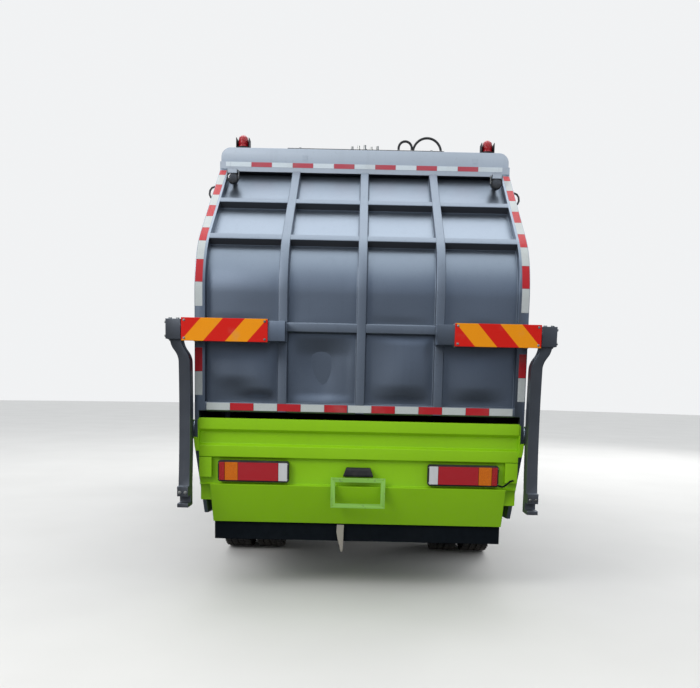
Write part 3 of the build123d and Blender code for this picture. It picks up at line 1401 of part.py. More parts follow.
# Plate lamp, a black hood fixed to the recess above the frame
with BuildPart() as plate_lamp:
    with BuildSketch(Plane.XZ.offset(-recess_y)):
        with Locations((0, plate_z + plate_height / 2 + plate_lamp_gap + plate_lamp_height / 2)):
            Trapezoid(plate_lamp_width, plate_lamp_height, 70)
    extrude(amount=plate_lamp_depth)
    chamfer(plate_lamp.edges().filter_by(Axis.X).group_by(Axis.Y)[0], 12)
plate_lamp.part.label = "plate_lamp"
export_step(plate_lamp.part, "parts/plate_lamp.step")

# Tailgate lift cylinders: barrels on the load body, rods towards the tailgate
barrel_radius = 45.0
rod_radius = 25.0
barrel_length = 1010.0
barrel_end_wall = 60.0
eye_outer_radius = 55.0
lift_reach = ((lift_eye[0] - lift_foot[0]) ** 2 + (lift_eye[1] - lift_foot[1]) ** 2) ** 0.5
lift_line = (0, (lift_eye[0] - lift_foot[0]) / lift_reach, (lift_eye[1] - lift_foot[1]) / lift_reach)
with BuildPart() as lift_barrels:
    for side in (-1, 1):
        foot_point = (side * lift_plane_x, *lift_foot)
        with Locations(Location(foot_point, (0, 90, 0))):
            Cylinder(eye_outer_radius, lift_eye_width)
        with BuildSketch(Plane(origin=foot_point, x_dir=(1, 0, 0), z_dir=lift_line)):
            Circle(barrel_radius)
        extrude(amount=barrel_length)
        barrel_plane = Plane(origin=foot_point, x_dir=(1, 0, 0), z_dir=lift_line)
        with BuildSketch(barrel_plane.offset(eye_outer_radius + barrel_end_wall)):
            Circle(rod_radius + 1)
        extrude(amount=barrel_length, mode=Mode.SUBTRACT)
        with Locations(Location(foot_point, (0, 90, 0))):
            Cylinder(lift_pin_radius + running_fit, 2 * lift_eye_width, mode=Mode.SUBTRACT)
lift_barrels.part.label = "lift_barrels"
export_step(lift_barrels.part, "parts/lift_barrels.step")

with BuildPart() as lift_rods:
    for side in (-1, 1):
        foot_point = (side * lift_plane_x, *lift_foot)
        eye_point = (side * lift_plane_x, *lift_eye)
        rod_start = eye_outer_radius + barrel_end_wall + 10
        with BuildSketch(Plane(origin=foot_point, x_dir=(1, 0, 0), z_dir=lift_line).offset(rod_start)):
            Circle(rod_radius)
        extrude(amount=lift_reach - rod_start)
        with Locations(Location(eye_point, (0, 90, 0))):
            Cylinder(eye_outer_radius, lift_eye_width)
lift_rods.part.label = "lift_rods"
export_step(lift_rods.part, "parts/lift_rods.step")
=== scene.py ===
import bmesh
import bpy
from itertools import product
from math import ceil, cos, exp, pi, radians, sin
from mathutils import Matrix, Vector, noise


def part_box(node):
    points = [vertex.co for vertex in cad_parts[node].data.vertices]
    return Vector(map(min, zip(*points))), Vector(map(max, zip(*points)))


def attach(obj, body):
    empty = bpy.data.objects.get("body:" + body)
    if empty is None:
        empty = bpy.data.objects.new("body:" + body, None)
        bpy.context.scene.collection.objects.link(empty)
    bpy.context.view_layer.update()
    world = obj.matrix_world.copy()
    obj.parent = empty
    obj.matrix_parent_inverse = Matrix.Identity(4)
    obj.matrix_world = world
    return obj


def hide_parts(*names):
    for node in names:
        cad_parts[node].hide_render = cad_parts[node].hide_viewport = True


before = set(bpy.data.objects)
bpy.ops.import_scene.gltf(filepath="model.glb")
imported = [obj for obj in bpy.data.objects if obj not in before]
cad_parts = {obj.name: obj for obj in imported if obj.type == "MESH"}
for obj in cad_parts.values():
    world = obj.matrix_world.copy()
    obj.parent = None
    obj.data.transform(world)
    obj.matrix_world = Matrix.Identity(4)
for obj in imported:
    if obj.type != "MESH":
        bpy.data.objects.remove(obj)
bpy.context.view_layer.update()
both = (-1, 1)


# Camera: it stands behind the tailgate on the truck's middle line, at 1.48 m, and looks 6.3 degrees down.
# A small roll makes level lines fall to the right, and the shift puts the truck where the frame has it.
def linked(name, data):
    """Put a new object into the scene."""
    made = bpy.data.objects.new(name, data)
    bpy.context.scene.collection.objects.link(made)
    return made


view_data = bpy.data.cameras.new("rear_view")
view_data.sensor_width = 36.0
view_data.lens = 38.98
view_data.shift_x = -0.0119
view_data.shift_y = 0.1772
view_data.clip_end = 200.0
rear_view = linked("rear_view", view_data)
look_down = Matrix.Rotation(radians(90 - 6.3), 4, "X")
roll_right = Matrix.Rotation(radians(1.25), 4, "Z")
rear_view.matrix_world = Matrix.Translation((0.0, -8.815, 1.48)) @ look_down @ roll_right
bpy.context.scene.camera = rear_view
bpy.context.scene.view_settings.view_transform = "Standard"


# Studio: a pale floor disc under an even pale room. The room is darker at its horizon than overhead, and a
# broad soft lamp hangs above, so that sloping sheet shows sky and upright sheet stays dark.
class Shade:
    """One socket of a node tree. An expression on it adds its Math nodes."""

    def __init__(self, works, socket):
        self.works = works
        self.socket = socket

    def sum_up(self, operation, first, second):
        """A maths node on two values."""
        return self.works.add("ShaderNodeMath", {"operation": operation}, {0: first, 1: second})

    def __add__(self, other):
        return self.sum_up("ADD", self, other)

    def __radd__(self, other):
        return self.sum_up("ADD", other, self)

    def __sub__(self, other):
        return self.sum_up("SUBTRACT", self, other)

    def __rsub__(self, other):
        return self.sum_up("SUBTRACT", other, self)

    def __mul__(self, other):
        return self.sum_up("MULTIPLY", self, other)

    def __rmul__(self, other):
        return self.sum_up("MULTIPLY", other, self)

    def __truediv__(self, other):
        return self.sum_up("DIVIDE", self, other)

    def most(self, other):
        """The larger of two values."""
        return self.sum_up("MAXIMUM", self, other)


class Works:
    """A node tree that is filled by one method: a node's settings first, then its sockets."""

    def __init__(self, tree):
        self.tree = tree

    def add(self, kind, settings=None, values=None, out=0):
        node = self.tree.nodes.new(kind)
        for key, value in (settings or {}).items():
            setattr(node, key, value)
        for key, value in (values or {}).items():
            if isinstance(value, Shade):
                self.tree.links.new(value.socket, node.inputs[key])
            else:
                node.inputs[key].default_value = value
        return Shade(self, node.outputs[out] if len(node.outputs) else None)

    def ramp(self, value, stops):
        """A run of colours over a value from 0 to 1."""
        colours = self.add("ShaderNodeValToRGB", {}, {0: value})
        elements = colours.socket.node.color_ramp.elements
        while len(elements) < len(stops):
            elements.new(0.5)
        for element, (place, colour) in zip(elements, stops):
            element.position = place
            element.color = (*colour, 1.0)
        return colours

    def ray(self, kind):
        """1 for light rays of one kind, 0 for all others."""
        return self.add("ShaderNodeLightPath", out=f"Is {kind} Ray")

    def mix(self, mask, first, second):
        """Lay a second colour over a first one where the mask is 1."""
        one, two = (c if isinstance(c, Shade) else (*c, 1.0) for c in (first, second))
        return self.add("ShaderNodeMix", {"data_type": "RGBA"}, {0: mask, 6: one, 7: two}, out=2)


class Finish(Works):
    """A material of this truck, laid on by Object coordinates in metres."""

    def __init__(self, name):
        self.material = bpy.data.materials.new(name)
        self.material.use_nodes = True
        super().__init__(self.material.node_tree)
        self.tree.nodes.clear()
        self.place = self.add("ShaderNodeTexCoord", out="Object")

    def grain(self, scale, detail=2.0, stretch=(1, 1, 1)):
        """Soft noise between 0 and 1, stretched where the finish runs in one direction."""
        laid = self.add("ShaderNodeMapping", {}, {"Vector": self.place, "Scale": stretch})
        return self.add("ShaderNodeTexNoise", {}, {"Vector": laid, "Scale": scale, "Detail": detail})

    def waves(self, scale, direction="X"):
        """Even bands along one axis."""
        values = {"Vector": self.place, "Scale": scale}
        return self.add("ShaderNodeTexWave", {"bands_direction": direction}, values)

    def cells(self, scale, feature="F1"):
        """Irregular cells, by the distance to their hearts."""
        return self.add("ShaderNodeTexVoronoi", {"feature": feature}, {"Vector": self.place, "Scale": scale})

    def axis(self, letter):
        """One axis of the place on the surface."""
        return self.add("ShaderNodeSeparateXYZ", {}, {0: self.place}, out="XYZ".index(letter))

    def rise(self, value, low, high):
        """A soft step from 0 to 1 as a value goes from low to high."""
        settings = {"interpolation_type": "SMOOTHSTEP"}
        return self.add("ShaderNodeMapRange", settings, {"Value": value, "From Min": low, "From Max": high})

    def relief(self, height, distance):
        """A Bump node for a relief of a real depth in metres."""
        return self.add("ShaderNodeBump", {}, {"Height": height, "Distance": distance, "Strength": 1.0})

    def cover(self, base_color, **values):
        """The surface shader, fed with sockets and constants by name."""
        named = {key.replace("_", " ").title().replace("Ior", "IOR"): value for key, value in values.items()}
        surface = self.add("ShaderNodeBsdfPrincipled", {}, {"Base Color": base_color, **named})
        self.add("ShaderNodeOutputMaterial", {}, {"Surface": surface})
        return self


room = bpy.data.worlds.new("pale_room")
room.use_nodes = True
bpy.context.scene.world = room
room_works = Works(room.node_tree)
room.node_tree.nodes.clear()
room_way = room_works.add("ShaderNodeTexCoord", out="Generated")
look_up = room_works.add("ShaderNodeSeparateXYZ", {}, {0: room_way}, out=2)
sky_stops = [(0.0, (0.42, 0.43, 0.44)), (0.45, (0.95, 0.98, 1.02)), (1.0, (1.05, 1.08, 1.1))]
sky = room_works.ramp(look_up, sky_stops)
mirrored = room_works.ramp(look_up, [
    (0.0, (0.2, 0.22, 0.25)),
    (0.12, (0.25, 0.275, 0.33)),
    (0.3, (0.44, 0.5, 0.61)),
    (0.62, (0.5, 0.57, 0.68)),
    (0.8, (1.4, 1.48, 1.55)),
    (1.0, (1.78, 1.85, 1.87)),
])
seen_plain = room_works.ray("Camera").most(room_works.ray("Transmission"))
lit = room_works.mix(room_works.ray("Glossy"), sky, mirrored)
pale = room_works.mix(seen_plain, lit, (0.88, 0.89, 0.9))
room_light = room_works.add("ShaderNodeBackground", {}, {"Color": pale, "Strength": 1.0})
room_works.add("ShaderNodeOutputWorld", {}, {"Surface": room_light})


def soft_lamp(name, place, aim, width, brightness):
    """A soft square lamp that a mirror would see at the given brightness."""
    data = bpy.data.lights.new(name, "AREA")
    data.shape = "RECTANGLE"
    data.size = width
    data.size_y = width
    data.energy = brightness * pi * width * width
    aimed = (Vector(aim) - Vector(place)).to_track_quat("-Z", "Y").to_matrix().to_4x4()
    linked(name, data).matrix_world = Matrix.Translation(place) @ aimed


soft_lamp("overhead", (0.0, 2.5, 9.5), (0.0, 0.5, 2.0), 11.0, 1.2)
soft_lamp("rear_left", (-6.0, -9.5, 6.5), (0.0, -3.0, 1.6), 4.0, 7.5)
soft_lamp("front_right", (7.5, 8.0, 6.0), (0.0, 2.0, 1.5), 4.0, 5.0)


def mesh_of(name, shape, *finishes):
    """Turn a worked shape into mesh data that holds its materials."""
    mesh = bpy.data.meshes.new(name)
    shape.to_mesh(mesh)
    shape.free()
    for finish in finishes:
        mesh.materials.append(finish.material)
    return mesh


# The floor shows pale to the camera, but glossy paint mirrors a dark yard behind the truck.
floor_finish = Finish("pale_floor")
floor_tone = floor_finish.mix(floor_finish.grain(0.8, 3.0), (0.62, 0.61, 0.59), (0.7, 0.69, 0.67))
behind = 0.0 - floor_finish.axis("Y")
yard = floor_finish.rise(behind, 3.0, 4.5) * (1.0 - floor_finish.rise(behind, 6.5, 12.0))
mirrored_floor = floor_finish.mix(yard, (0.11, 0.115, 0.125), (0.012, 0.014, 0.018))
unseen_floor = floor_finish.mix(floor_finish.ray("Glossy"), (0.36, 0.355, 0.345), mirrored_floor)
floor_tone = floor_finish.mix(floor_finish.ray("Camera"), unseen_floor, floor_tone)
floor_finish.cover(floor_tone, roughness=0.85, specular_ior_level=0.2)
floor_shape = bmesh.new()
bmesh.ops.create_circle(floor_shape, cap_ends=True, segments=96, radius=45.0)
linked("floor_disc", mesh_of("floor_disc", floor_shape, floor_finish))


# Ladder frame: two pressed steel channels with tube cross members, riveted together and painted black. Its
# edges are rolled, so each CAD solid that is only too sharp gets a copy with eased edges.
def painted(name, colour, metallic=0.0, roughness=0.4, coat=0.0, flake=0.0, dust=0.3, streak=0.12, chips=0.0,
            gloss=0.5):
    """Sprayed paint on sheet steel, with cloudy tone, orange peel, rain marks, road dust and chips."""
    finish = Finish(name)
    cloud = finish.grain(1.7, 3.0)
    tone = finish.mix(cloud, tuple(0.9 * c for c in colour), tuple(min(1.0, 1.08 * c) for c in colour))
    if flake:
        spark = finish.rise(finish.grain(850.0, 1.0), 0.55, 0.75)
        tone = finish.mix(spark * flake, tone, tuple(min(1.0, 1.8 * c + 0.05) for c in colour))
    run = finish.rise(finish.grain(1.0, 4.0, stretch=(26, 26, 1.1)), 0.52, 0.78)
    tone = finish.mix(run * streak, tone, tuple(0.55 * c + 0.02 for c in colour))
    low = 1.0 - finish.rise(finish.axis("Z") + 0.5 * finish.grain(2.3, 5.0), 0.45, 1.7)
    speck = finish.rise(finish.grain(38.0, 4.0), 0.35, 0.75)
    soil = (low * (0.35 + 0.65 * speck)) * dust
    tone = finish.mix(soil, tone, (0.3, 0.27, 0.23))
    rough = roughness + 0.12 * cloud + 0.35 * soil
    if chips:
        chip = finish.rise(finish.grain(46.0, 5.0), 0.62, 0.66) * chips
        tone = finish.mix(chip, tone, (0.09, 0.085, 0.08))
        rough = rough + 0.2 * chip
    peel = finish.relief(finish.grain(160.0, 2.0), 0.0004)
    values = {"metallic": metallic, "roughness": rough, "coat_weight": coat, "normal": peel}
    return finish.cover(tone, coat_roughness=0.08, specular_ior_level=gloss, **values)


def cast_iron(name, colour, scale=90.0, depth=0.0012, roughness=0.62, metallic=0.4):
    """Rough cast or forged iron with a sandy skin and oily dirt in patches."""
    finish = Finish(name)
    sand = finish.grain(scale, 6.0)
    oil = finish.rise(finish.grain(6.0, 4.0), 0.45, 0.7)
    tone = finish.mix(sand, tuple(0.7 * c for c in colour), tuple(1.35 * c for c in colour))
    tone = finish.mix(oil * 0.6, tone, (0.018, 0.016, 0.014))
    low = 1.0 - finish.rise(finish.axis("Z"), 0.3, 1.1)
    tone = finish.mix(low * 0.35 * finish.grain(11.0, 4.0), tone, (0.3, 0.26, 0.21))
    rough = roughness - 0.2 * oil + 0.1 * sand
    return finish.cover(tone, metallic=metallic, roughness=rough, normal=finish.relief(sand, depth))


def settled(thing):
    """The mesh of an object with its modifiers worked in. The object and its plain mesh go."""
    mesh = bpy.data.meshes.new_from_object(thing.evaluated_get(bpy.context.evaluated_depsgraph_get()))
    plain = thing.data
    bpy.data.objects.remove(thing)
    bpy.data.meshes.remove(plain)
    return mesh


def hand_over(name, mesh, body, nodes=()):
    """Show a finished mesh as a piece that rides on its body and stands in for its nodes."""
    mesh.name = name
    made = linked(name, mesh)
    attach(made, body)
    if nodes:
        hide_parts(*nodes)
    return made


def piece_from(name, shape, finishes, body, slot, nodes=(), ease=0.0, steps=2, edge=-1, sharp=35.0):
    """Make a finished piece from a shape in metres, with eased edges, riding on its body."""
    mesh = mesh_of(name, shape, *finishes)
    mesh.shade_smooth()
    if ease:
        raw = linked(name + "_raw", mesh)
        bevel = raw.modifiers.new("ease", "BEVEL")
        bevel.width = ease
        bevel.segments = steps
        bevel.limit_method = "ANGLE"
        bevel.angle_limit = radians(30)
        bevel.harden_normals = True
        bevel.material = edge
        mesh = settled(raw)
    else:
        mesh.set_sharp_from_angle(angle=radians(sharp))
    hand_over(name, mesh, body, nodes)


def node_shape(node):
    """A node's own triangles, merged and joined into flat faces, as a shape to work on."""
    shape = bmesh.new()
    shape.from_mesh(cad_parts[node].data)
    bmesh.ops.remove_doubles(shape, verts=shape.verts, dist=1e-5)
    bmesh.ops.dissolve_limit(shape, angle_limit=radians(0.8), verts=shape.verts[:], edges=shape.edges[:])
    for face in shape.faces:
        face.material_index = 0
    return shape


def eased(name, node, finishes, body, slot, ease=0.004, **more):
    """A node's shape with its edges eased, in its place."""
    piece_from(name, node_shape(node), finishes, body, slot, (node,), ease, **more)


def block(shape, low, high, index=0):
    """Add a box between two corners; the piece's edges are eased when it is finished."""
    low, high = Vector(low), Vector(high)
    made = bmesh.ops.create_cube(shape, size=1.0)["verts"]
    bmesh.ops.scale(shape, vec=high - low, verts=made)
    bmesh.ops.translate(shape, vec=(low + high) / 2, verts=made)
    for face in {f for v in made for f in v.link_faces}:
        face.material_index = index


def bar(shape, x, half, low, high, index=0):
    """Add a box that reaches equally far to both sides of an x, between two (y, z) corners."""
    block(shape, (x - half, *low), (x + half, *high), index)


def finished_faces(shape, faces, index=0):
    """Give new faces their material and turn them outward."""
    for face in faces:
        face.material_index = index
    bmesh.ops.recalc_face_normals(shape, faces=faces)


def swept(shape, section, stations, index=0, loop=False):
    """Carry a closed section of (across, up) points through stations of (place, across, up)."""
    rings = []
    for place, across, up in stations:
        spots = [Vector(place) + Vector(across) * u + Vector(up) * v for u, v in section]
        rings.append([shape.verts.new(spot) for spot in spots])
    made = []
    count = len(section)
    for ring, following in list(zip(rings, rings[1:])) + ([(rings[-1], rings[0])] if loop else []):
        for i in range(count):
            j = (i + 1) % count
            made.append(shape.faces.new((ring[i], ring[j], following[j], following[i])))
    if not loop:
        made.append(shape.faces.new(rings[0][::-1]))
        made.append(shape.faces.new(rings[-1]))
    finished_faces(shape, made, index)


def arc(radius, start, end, steps):
    """Points (u, v) on an arc between two angles in degrees."""
    turns = [radians(start + (end - start) * k / steps) for k in range(steps + 1)]
    return [(radius * cos(turn), radius * sin(turn)) for turn in turns]


def full_circle(radius, sides=12):
    """Points round a circle."""
    return [(radius * cos(2 * pi * i / sides), radius * sin(2 * pi * i / sides)) for i in range(sides)]


def flat(half_wide, high, low=None):
    """The section of a flat bar."""
    low = -high if low is None else low
    return [(-half_wide, low), (half_wide, low), (half_wide, high), (-half_wide, high)]


def tube(shape, path, radius, sides=12, index=0, loop=False):
    """A round bar or pipe through a row of points."""
    path = [Vector(p) for p in path]
    stations = []
    across = None
    for i, place in enumerate(path):
        before = path[i - 1] if i or loop else place
        after = path[(i + 1) % len(path)] if i < len(path) - 1 or loop else place
        along = (after - before).normalized()
        if across is None:
            across = along.orthogonal().normalized()
        across = (across - along * across.dot(along)).normalized()
        stations.append((place, across, along.cross(across)))
    swept(shape, full_circle(radius, sides), stations, index, loop)


def turned(shape, profile, centre, axis, sides=48, index=0, closed=False):
    """Turn a profile of (along, radius) points about an axis. End points on the axis close it."""
    axis = Vector(axis).normalized()
    side = axis.orthogonal().normalized()
    other = axis.cross(side)
    rows = []
    for along, radius in profile:
        heart = Vector(centre) + axis * along
        if radius < 1e-6:
            rows.append([shape.verts.new(heart)])
            continue
        turn = [2 * pi * i / sides for i in range(sides)]
        rows.append([shape.verts.new(heart + radius * (side * cos(a) + other * sin(a))) for a in turn])
    made = []
    for row, following in list(zip(rows, rows[1:])) + ([(rows[-1], rows[0])] if closed else []):
        for i in range(sides):
            ends = ((row, i), (row, i + 1), (following, i + 1), (following, i))
            unique = list(dict.fromkeys(ring[k % sides % len(ring)] for ring, k in ends))
            if len(unique) > 2:
                made.append(shape.faces.new(unique))
    finished_faces(shape, made, index)


def knob(shape, profile, centre, axis, sides=48, index=0):
    """Turn a profile of (along, radius) points whose ends are closed straight in to the axis."""
    end = [] if profile[-1][1] == 0.0 else [(profile[-1][0], 0.0)]
    turned(shape, [(profile[0][0], 0.0), *profile, *end], centre, axis, sides, index)


def new_tree(name, inputs):
    """A geometry tree with a mesh going in and out, and more inputs of given kinds by their names."""
    tree = bpy.data.node_groups.new(name, "GeometryNodeTree")
    works = Works(tree)
    for label, kind in {"Geometry": "Geometry", **inputs}.items():
        tree.interface.new_socket(label, in_out="INPUT", socket_type="NodeSocket" + kind)
    tree.interface.new_socket("Geometry", in_out="OUTPUT", socket_type="NodeSocketGeometry")
    given = {socket.name: Shade(works, socket) for socket in tree.nodes.new("NodeGroupInput").outputs}
    return works, given


def grow(thing, works, values):
    """Run a geometry tree on an object, with the tree's inputs set by their names."""
    modifier = thing.modifiers.new("grow", "NODES")
    modifier.node_group = works.tree
    for socket in works.tree.interface.items_tree:
        if socket.name in values:
            modifier[socket.identifier] = values[socket.name]


def joined(works, *parts):
    """All parts as one geometry."""
    whole = works.add("GeometryNodeJoinGeometry")
    for part in parts:
        works.tree.links.new(part.socket, whole.socket.node.inputs[0])
    return whole


# Hex heads on washers are grown on points by one tree. Each point holds the way that it faces and its size.
head_works, given = new_tree("hex_heads", {
    "Head radius": "Float",
    "Head height": "Float",
    "Washer radius": "Float",
    "Sides": "Int",
    "Finish": "Material",
})
high = given["Head height"]
round_values = {"Vertices": given["Sides"], "Radius": given["Head radius"], "Depth": high}
lower_head = head_works.add("GeometryNodeMeshCylinder", {}, round_values)
crown_values = {
    "Vertices": given["Sides"],
    "Radius Bottom": given["Head radius"],
    "Radius Top": given["Head radius"] * 0.72,
    "Depth": high * 0.25,
}
crown = head_works.add("GeometryNodeMeshCone", {}, crown_values)
washer_values = {"Vertices": 14, "Radius": given["Washer radius"], "Depth": high * 0.3}
washer = head_works.add("GeometryNodeMeshCylinder", {}, washer_values)


def lifted(what, height):
    """A part of the bolt head, raised."""
    shift = head_works.add("ShaderNodeCombineXYZ", {}, {2: height})
    return head_works.add("GeometryNodeTransform", {}, {"Geometry": what, "Translation": shift})


head_parts = (lifted(lower_head, high * 0.75), lifted(crown, high * 1.25), lifted(washer, high * 0.15))
one_head = joined(head_works, *head_parts)
facing = head_works.add("GeometryNodeInputNamedAttribute", {"data_type": "FLOAT_VECTOR"}, {"Name": "facing"})
size = head_works.add("GeometryNodeInputNamedAttribute", {"data_type": "FLOAT"}, {"Name": "size"})
spin = head_works.add("FunctionNodeRandomValue", {"data_type": "FLOAT"}, {2: 0.0, 3: 1.05, "Seed": 7}, out=1)
spun = head_works.add("ShaderNodeCombineXYZ", {}, {2: spin})
start_turn = head_works.add("FunctionNodeEulerToRotation", {}, {0: spun})
facing_values = {"Rotation": start_turn, "Vector": facing}
aligned = head_works.add("FunctionNodeAlignRotationToVector", {"axis": "Z"}, facing_values)
head_places = {"Points": given["Geometry"], "Instance": one_head, "Rotation": aligned, "Scale": size}
placed = head_works.add("GeometryNodeInstanceOnPoints", {}, head_places)
real = head_works.add("GeometryNodeRealizeInstances", {}, {0: placed})
set_finish = head_works.add("GeometryNodeSetMaterial", {}, {"Geometry": real, "Material": given["Finish"]})
head_works.add("NodeGroupOutput", {}, {0: set_finish})


def heads(name, rows, body, finish, radius=0.0105, height=0.0075, washer_radius=0.015, sides=6):
    """Bolt heads at rows of (place, facing, size), grown as one piece on a body."""
    points = bpy.data.meshes.new(name + "_points")
    points.from_pydata([row[0] for row in rows], [], [])
    facings = [part for row in rows for part in row[1]]
    points.attributes.new("facing", "FLOAT_VECTOR", "POINT").data.foreach_set("vector", facings)
    points.attributes.new("size", "FLOAT", "POINT").data.foreach_set("value", [row[2] for row in rows])
    base = linked(name + "_base", points)
    sizes = {"Head radius": radius, "Head height": height, "Washer radius": washer_radius, "Sides": sides}
    grow(base, head_works, {**sizes, "Finish": finish.material})
    mesh = settled(base)
    mesh.shade_smooth()
    mesh.set_sharp_from_angle(angle=radians(25))
    hand_over(name, mesh, body)


chassis_paint = painted("chassis_black", (0.02, 0.021, 0.023), roughness=0.5, dust=0.55, chips=0.5)
forged = cast_iron("forged_iron", (0.05, 0.049, 0.048))
zinc = cast_iron("zinc_plate", (0.42, 0.42, 0.4), scale=240.0, depth=0.0003, roughness=0.38, metallic=0.9)
eased("ladder_frame", "frame_rails", [chassis_paint], "chassis", "chassis_black")
rail_x, rail_z = 0.43, 0.77
rail_bolts = []
for side in both:
    for cross_y, up, along in product((-2.343, -1.265, 0.885, 3.51), (-0.055, 0.055), (-0.06, 0.06)):
        rail_bolts.append(((side * rail_x, cross_y + along, rail_z + up), (side, 0, 0), 1.3))
    for step, up in product(range(12), (-0.07, 0.07)):
        rail_bolts.append(((side * rail_x, -2.1 + 0.36 * step, rail_z + up), (side, 0, 0), 0.9))
heads("frame_rivets", rail_bolts, "chassis", zinc)


# Engine and gearbox: one cast iron block between the rails, ribbed on its sides. The sump is a pressed pan that
# is held under the block by a row of bolts along each side.
iron = cast_iron("cast_block", (0.075, 0.076, 0.08))
eased("engine_and_gearbox", "engine_block", [iron], "chassis", "cast", ease=0.008)
sump_bolts = []
for side, step in product(both, range(9)):
    sump_bolts.append(((side * 0.321, 2.2 + 0.12 * step, 0.62), (side, 0, 0), 1.2))
heads("sump_bolts", sump_bolts, "chassis", zinc)


# Rear axle: a cast banjo housing on pressed tubes that are welded into it. A domed cover closes its rear and is
# held by a ring of studs.
wheel_z, front_axle_y, rear_axle_y = 0.48, 2.535, -1.965
eased("rear_axle_housing", "rear_axle", [iron], "chassis", "cast")
cover_studs = [((u, -2.0705, wheel_z + v), (0, -1, 0), 1.3) for u, v in full_circle(0.118)]
heads("axle_cover_studs", cover_studs, "chassis", zinc)


# Propeller shaft: a drawn steel tube from the gearbox to the rear axle. A forged yoke is welded to each end and
# takes up the tube's slope.
low_shaft, high_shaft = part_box("driveshaft")
eased("propeller_shaft", "driveshaft", [chassis_paint], "chassis", "cast", ease=0.003)
shaft_yokes = bmesh.new()
shaft_rear = Vector((0.0, low_shaft.y, wheel_z))
shaft_front = Vector((0.0, high_shaft.y, 0.705))
shaft_way = (shaft_front - shaft_rear).normalized()
yoke_profile = [(0.02, 0.06), (0.05, 0.062), (0.055, 0.05), (0.13, 0.048), (0.14, 0.0)]
for start, way in ((shaft_rear, shaft_way), (shaft_front, -shaft_way)):
    knob(shaft_yokes, yoke_profile, start, way, 24)
piece_from("shaft_yokes", shaft_yokes, [forged], "chassis", "cast")


# Front axle: a forged I-beam that drops between its kingpin eyes, so that the engine clears it. It is left as
# forged, with rounded edges, and is clamped under the springs.
eased("front_axle_beam", "front_axle", [forged], "chassis", "cast", ease=0.007)


# Leaf springs: stacked steel leaves, each shorter than the one above, clamped to the axles by U-bolts and
# hung from the rails in riveted brackets.
spring_values = {"scale": 60.0, "depth": 0.0006, "roughness": 0.55, "metallic": 0.6}
spring_steel = cast_iron("spring_steel", (0.045, 0.04, 0.036), **spring_values)
spring_stacks = bmesh.new()
leaf_half = 0.034
for axle_y, spring_x, half, seat_z in ((front_axle_y, 0.395, 0.64, 0.435), (rear_axle_y, 0.48, 0.47, 0.548)):
    for side in both:
        x = side * spring_x
        for leaf in range(6):
            reach = half * (1.0 - 0.13 * leaf)
            stations = []
            for step in range(13):
                t = -1 + step / 6
                top = seat_z + 0.06 + 0.04 * (reach * t / half) ** 2 - 0.01 * leaf
                stations.append(((x, axle_y + reach * t, top - 0.0045), (1, 0, 0), (0, 0, 1)))
            swept(spring_stacks, flat(leaf_half, 0.0042), stations)
        for end_y in (axle_y - half, axle_y + half):
            for low_x in (x - 0.0345, x + 0.0295):
                cheek_low = (low_x, end_y - 0.035, seat_z + 0.06)
                block(spring_stacks, cheek_low, (low_x + 0.005, end_y + 0.035, 0.84))
            bar(spring_stacks, x, leaf_half, (end_y - 0.044, 0.7), (end_y + 0.044, 0.838))
            eye = (x, end_y, seat_z + 0.09)
            knob(spring_stacks, [(-leaf_half, 0.02), (leaf_half, 0.02)], eye, (1, 0, 0), 16)
        for clamp_y in (axle_y - 0.055, axle_y + 0.055):
            for leg_x in (x - 0.028, x + 0.028):
                leg = [(leg_x, clamp_y, seat_z + 0.002), (leg_x, clamp_y, seat_z + 0.066)]
                tube(spring_stacks, leg, 0.006, 8)
            strap_low = (clamp_y - 0.007, seat_z + 0.06)
            bar(spring_stacks, x, leaf_half, strap_low, (clamp_y + 0.007, seat_z + 0.067))
piece_from(
    "spring_stacks", spring_stacks, [spring_steel], "chassis", "chassis_black", ("leaf_springs",), 0.0015, 1
)


# Steering knuckles: forged steel forks that turn on the kingpins in the beam's eyes. Their stub axles carry the
# front wheels, and their edges are rounded by the die.
for hand in ("left", "right"):
    eased(f"{hand}_steering_knuckle", f"{hand}_knuckle", [forged], f"{hand}_steering", "cast")


# Tyres: moulded rubber on each rim, plain ribs at the front, cut blocks at the rear. The casing is turned in
# one profile with rib grooves and raised sidewall rings, and the blocks are grown round it by a tree.
tyre_rubber = Finish("tyre_rubber")
scrub = tyre_rubber.grain(9.0, 5.0)
grime = tyre_rubber.rise(tyre_rubber.grain(3.0, 5.0), 0.35, 0.75)
tyre_tone = tyre_rubber.mix(scrub, (0.014, 0.0142, 0.0155), (0.03, 0.03, 0.031))
tyre_tone = tyre_rubber.mix(grime * 0.45, tyre_tone, (0.12, 0.108, 0.092))
low_mud = (1.0 - tyre_rubber.rise(tyre_rubber.axis("Z"), 0.0, 0.12)) * 0.4
tyre_tone = tyre_rubber.mix(low_mud, tyre_tone, (0.16, 0.145, 0.12))
fine = tyre_rubber.relief(tyre_rubber.grain(300.0, 3.0), 0.0004)
tyre_rubber.cover(tyre_tone, roughness=0.78 + 0.12 * scrub, normal=fine)

